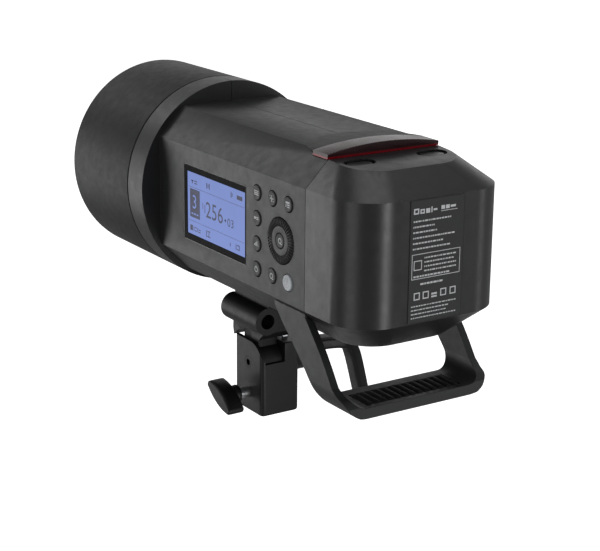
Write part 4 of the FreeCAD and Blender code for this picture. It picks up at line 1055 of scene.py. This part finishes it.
@dataclass
class StandMount(SubAssembly):
    """Stand adapter, tilt bracket, clamp knob, lock knob and tilt lever."""

    pivot: float = 31.4
    knob_z: float = 12.2
    tilt: float = -26.0

    def wing(self) -> bpy.types.Object:
        """The oval wing between two equal arcs, with blunt rounded ends and faces pinched at the middle.

        At a share s of the length, half the width is sqrt(R^2 - (L s)^2) less the arcs' offset. Beyond 92%
        of the length a quarter ellipse rounds the end, and the faces fall in by a cosine of the width.
        """
        arc, offset, length = 28.0, 22.5, 14.3
        s = np.sin(np.linspace(-np.pi / 2, np.pi / 2, 61))[:, None]
        taper = np.sqrt(1 - 0.8 * np.clip((np.abs(s) - 0.92) / 0.08, 0, 1) ** 2)
        half = (np.sqrt(arc ** 2 - (length * s) ** 2) - offset) * taper
        turn = np.linspace(0, 2 * np.pi, 48, endpoint=False)[None, :]
        cos, sin = np.cos(turn), np.sin(turn)
        wide = np.sign(cos) * np.abs(cos) ** 0.45
        deep = np.sign(sin) * np.abs(sin) ** 0.38
        across = half * wide
        x = 29.75 + (5.7 - 0.25 * (1 - wide ** 2) - 1.2 * (1 - taper)) * deep
        along = length * s * np.ones_like(wide)
        angle = math.radians(self.tilt)
        y = along * math.cos(angle) - across * math.sin(angle)
        z = self.knob_z + along * math.sin(angle) + across * math.cos(angle)
        return Surface().tube(np.stack([x, y, z], axis=-1)).build("knob_wing", 45.0)

    def collar(self) -> bpy.types.Object:
        """The knob's round root, turned with a coved neck."""
        profile = np.array([(0.0, 20.9), (5.0, 20.9), (5.6, 21.3), (5.9, 22.2), (5.7, 23.6), (5.2, 24.8),
                            (5.0, 26.0), (0.0, 26.0)])
        grid = turned(profile, (0, 0, self.knob_z), Facing.LEFT, 64)
        return Surface().grid(grid, wrap_rows=True).build("knob_root")

    def screw(self) -> bpy.types.Object:
        """Chrome screw: a plain shank whose inner end carries a shallow thread, as a cosine of its length."""
        x = np.linspace(10.3, 20.8, 121)
        thread = np.where(x < 12.2, 0.16 * np.cos(2 * np.pi * x / 1.1) - 0.16, 0.0)
        profile = np.vstack([[(0.0, 10.3)], np.stack([3.38 + thread, x], axis=-1), [(0.0, 20.8)]])
        grid = turned(profile, (0, 0, self.knob_z), Facing.LEFT, 64)
        return Surface().grid(grid, wrap_rows=True).build("clamp_screw")

    def lock_knob(self) -> bpy.types.Object:
        """The umbrella lock's small fluted head and its stem."""
        turn = np.linspace(0, 2 * np.pi, 160, endpoint=False)[:, None]
        radius = np.array([0.0, 5.4, 6.2, 6.4, 6.4, 6.2, 5.4, 2.6, 2.1, 2.1, 0.0])[None, :]
        x = np.array([-22.0, -22.0, -21.6, -20.8, -14.6, -13.8, -13.4, -13.2, -12.8, -5.0, -5.0])[None, :]
        flute = np.array([0, 0.3, 0.8, 1, 1, 0.8, 0.3, 0, 0, 0, 0])[None, :]
        r = radius - 0.35 * flute * (1 - np.cos(16 * turn)) / 2
        points = np.stack([np.broadcast_to(x, r.shape), 4.0 + r * np.cos(turn), 62.4 + r * np.sin(turn)], axis=-1)
        return Surface().grid(points, wrap_rows=True).build("lock_head", 45.0)

    def lever(self) -> bpy.types.Object:
        """The tilt lever's arm: rounded-box sections carried from the hub, outwards and down to the rear.

        A section's inner side has a channel whose depth fades in along the arm.
        """
        path = smooth_path([(-20, 3.0, 35.0), (-30, 5.0, 37.2), (-42, 7.4, 37.6), (-51, 9.8, 36.6),
                            (-54.2, 12.6, 32.6), (-54.4, 16.4, 24.5), (-54.4, 20.6, 14.6), (-54.4, 24.6, 5.2),
                            (-54.2, 27.4, -1.4)], 90)
        share = np.linspace(0, 1, 90)[:, None]
        turn = np.linspace(0, 2 * np.pi, 64, endpoint=False)[None, :]
        cos, sin = np.cos(turn), np.sin(turn)
        ends = np.sqrt(np.clip((1 - share) / 0.09, 0, 1) * (2 - np.clip((1 - share) / 0.09, 0, 1)))
        wide = (6.2 - 0.7 * share) * (0.12 + 0.88 * ends)
        deep = (4.1 - 0.5 * share) * (0.12 + 0.88 * ends)
        u = wide * np.sign(cos) * np.abs(cos) ** 0.5
        v = deep * np.sign(sin) * np.abs(sin) ** 0.5
        fade = np.clip((share - 0.42) / 0.1, 0, 1) * np.clip((0.9 - share) / 0.06, 0, 1)
        groove = fade * 1.6 * np.clip(1 - np.abs(u / wide) * 1.7, 0, 1) ** 0.4 * (v < 0)
        sections = np.stack([u, v + groove], axis=-1)
        return Surface().tube(swept(path, sections, (0, 1, 0.0))).build("lever_arm", 50.0)

    def lever_hub(self) -> bpy.types.Object:
        """The lever's round hub on the bolt, with a rounded outer edge and a shallow face."""
        profile = rounded_outline([(4.2, -26.0), (10.4, -26.0), (10.4, -16.1), (4.2, -16.1)], [0.3, 1.4, 0.5, 0.3], 6)
        grid = turned(profile, (0, 0, self.pivot), Facing.LEFT, 72)
        return Surface().grid(grid, wrap_rows=True, wrap_columns=True).build("lever_hub")

    def build(self) -> None:
        """Builds the mount from the socket up."""
        self.soft_node("stand_adapter", 0.7, MOUNT, "stand", "mount_plastic", 3)
        self.soft_node("tilt_bracket", 0.6, MOUNT, "head", "mount_plastic", 3)
        self.soft_node("tilt_collar", 0.6, BLACKENED, "stand", "chrome_steel")
        self.settle(self.screw(), SCREW, "stand_screw_knob", "chrome_steel", ["stand_screw"])
        self.settle(self.wing(), MOUNT, "stand_screw_knob", "mount_plastic", ["stand_knob"])
        self.settle(self.collar(), MOUNT, "stand_screw_knob", "mount_plastic")
        self.settle(self.lock_knob(), MOUNT, "lock_knob", "mount_plastic", ["umbrella_knob"])
        self.settle(self.lever(), MOUNT, "lever", "mount_plastic", ["tilt_lever"])
        self.settle(self.lever_hub(), MOUNT, "lever", "mount_plastic")


@dataclass
class CarryHandle(SubAssembly):
    """Handle frame with moulded edges and a ribbed grip pad."""

    half: float = 31.0
    front: float = 133.1
    rear: float = 149.6
    base: float = 54.7
    top: float = 56.9
    ribs: int = 13

    def pad(self) -> bpy.types.Object:
        """The pad: its height is a rounded rib wave across X, faded to nothing at its rim."""
        x = np.linspace(-self.half, self.half, self.ribs * 14 + 1)[:, None]
        y = np.linspace(self.front, self.rear, 33)[None, :]
        wave = np.abs(np.cos(np.pi * self.ribs * (x + self.half) / (2 * self.half) + np.pi / 2)) ** 0.55
        side = np.clip((self.half - np.abs(x)) / 1.4, 0, 1)
        end = np.clip((self.rear - np.abs(y * 2 - self.front - self.rear) / 2 - (self.rear + self.front) / 2)
                      / 1.6, 0, 1)
        edge = np.sqrt(1 - (1 - side) ** 2) * np.sqrt(1 - (1 - end) ** 2)
        z = self.base + 0.5 + (self.top - self.base - 0.5) * wave * edge
        face = np.stack([np.broadcast_to(x, z.shape), np.broadcast_to(y, z.shape), z], axis=-1)
        low = face.copy()
        low[..., 2] = self.base
        rim_top = np.concatenate([face[0], face[1:-1, -1], face[-1][::-1], face[1:-1, 0][::-1]])
        rim_low = rim_top.copy()
        rim_low[:, 2] = self.base
        return (Surface().grid(face).grid(low).grid(np.stack([rim_top, rim_low]), wrap_columns=True)
                .build("grip_ribs", 60.0))

    def build(self) -> None:
        """Builds the frame and the pad."""
        self.soft_node("handle_frame", 0.7, HANDLE, "head", "handle_plastic", 3, 24.0)
        self.settle(self.pad(), GRIP, "head", "grip_rubber", ["grip_pad"])


# Name, place and size in metres, and power in watts.
SOFTBOXES = (
    ("panel_box", (1.0, -1.5, -0.15), (1.3, 0.9), 7.0),
    ("side_fill", (1.6, 0.5, -0.2), (0.8, 0.9), 3.0),
    ("bevel_box", (0.51, -1.44, 1.1), (0.7, 0.5), 2.6),
    ("strip_box", (-0.3, 1.99, -0.3), (0.5, 1.1), 9.0),
    ("edge_box", (-1.7, 1.3, -0.1), (0.4, 1.2), 3.0),
    ("back_wall", (-1.5, -2.3, 0.9), (3.0, 1.2), 7.0),
    ("top_box", (-0.2, 0.1, 1.7), (1.0, 1.0), 5.0),
)


@dataclass
class Studio:
    """Pale floor, soft light and the camera."""

    lens: float = 95.9
    place: Sequence[float] = (0.4933, 0.7900, 0.3604)
    heading: float = 146.8
    elevation: float = 16.49
    roll: float = 0.58
    floor_height: float = -0.32
    floor_half: float = 9.0
    floor_glow: float = 0.85
    sky: float = 0.3

    def camera(self) -> None:
        """Sets the camera by its heading, elevation and roll, in degrees."""
        heading, elevation, roll = (math.radians(v) for v in (self.heading, self.elevation, self.roll))
        back = Vector((math.sin(heading) * math.cos(elevation), -math.cos(heading) * math.cos(elevation),
                       math.sin(elevation)))
        right = Vector((0, 0, 1)).cross(back).normalized()
        up = back.cross(right)
        turned_right = right * math.cos(roll) + up * math.sin(roll)
        turned_up = up * math.cos(roll) - right * math.sin(roll)
        data = bpy.data.cameras.new("camera")
        data.lens, data.sensor_width = self.lens, 36.0
        camera = bpy.data.objects.new("camera", data)
        columns = Matrix((turned_right, turned_up, back)).transposed().to_4x4()
        camera.matrix_world = Matrix.Translation(Vector(self.place)) @ columns
        bpy.context.scene.collection.objects.link(camera)
        bpy.context.scene.camera = camera

    def softbox(self, name: str, place: Sequence[float], size: Sequence[float], power: float) -> None:
        """Adds a rectangular light that looks at the head."""
        data = bpy.data.lights.new(name, "AREA")
        data.shape, data.size, data.size_y, data.energy = "RECTANGLE", size[0], size[1], power
        light = bpy.data.objects.new(name, data)
        aim = Vector((0, 0.02, 0.12)) - Vector(place)
        light.matrix_world = Matrix.Translation(Vector(place)) @ aim.to_track_quat("-Z", "Y").to_matrix().to_4x4()
        bpy.context.scene.collection.objects.link(light)

    def floor(self) -> None:
        """A wide pale sweep."""
        size = self.floor_half
        mesh = bpy.data.meshes.new("floor")
        mesh.from_pydata([(-size, -size, self.floor_height), (size, -size, self.floor_height),
                          (size, size, self.floor_height), (-size, size, self.floor_height)], [], [(0, 1, 2, 3)])
        floor = bpy.data.objects.new("floor", mesh)
        floor.visible_glossy = floor.visible_diffuse = floor.visible_shadow = False
        bench = Bench("pale_sweep")
        bench.set(Base_Color=(0.9, 0.9, 0.9), Roughness=0.9, Specular_IOR_Level=0.1,
                  Emission_Color=(1.0, 1.0, 1.0), Emission_Strength=self.floor_glow)
        mesh.materials.append(bench.material)
        bpy.context.scene.collection.objects.link(floor)

    def build(self) -> None:
        """Sets the whole studio."""
        self.camera()
        self.floor()
        world = bpy.data.worlds.new("studio")
        world.use_nodes = True
        ground = world.node_tree.nodes["Background"]
        ground.inputs["Color"].default_value = (1.0, 1.0, 1.0, 1.0)
        ground.inputs["Strength"].default_value = self.sky
        bpy.context.scene.world = world
        bpy.context.scene.view_settings.view_transform = "Standard"
        for name, place, size, power in SOFTBOXES:
            self.softbox(name, place, size, power)


def main() -> None:
    """Builds every sub-assembly in order."""
    logging.basicConfig(level=logging.INFO, format="%(name)s: %(message)s")
    CarriedParts().dress()
    for part in (LampCap(), BodyShells(), DisplayUnit(), Buttons(), Dial(), BatteryPack(), StandMount(),
                 CarryHandle()):
        part.build()
        log.info("%s done", type(part).__name__)
    Studio().build()
    bpy.context.view_layer.update()


if __name__ == "__main__":
    main()
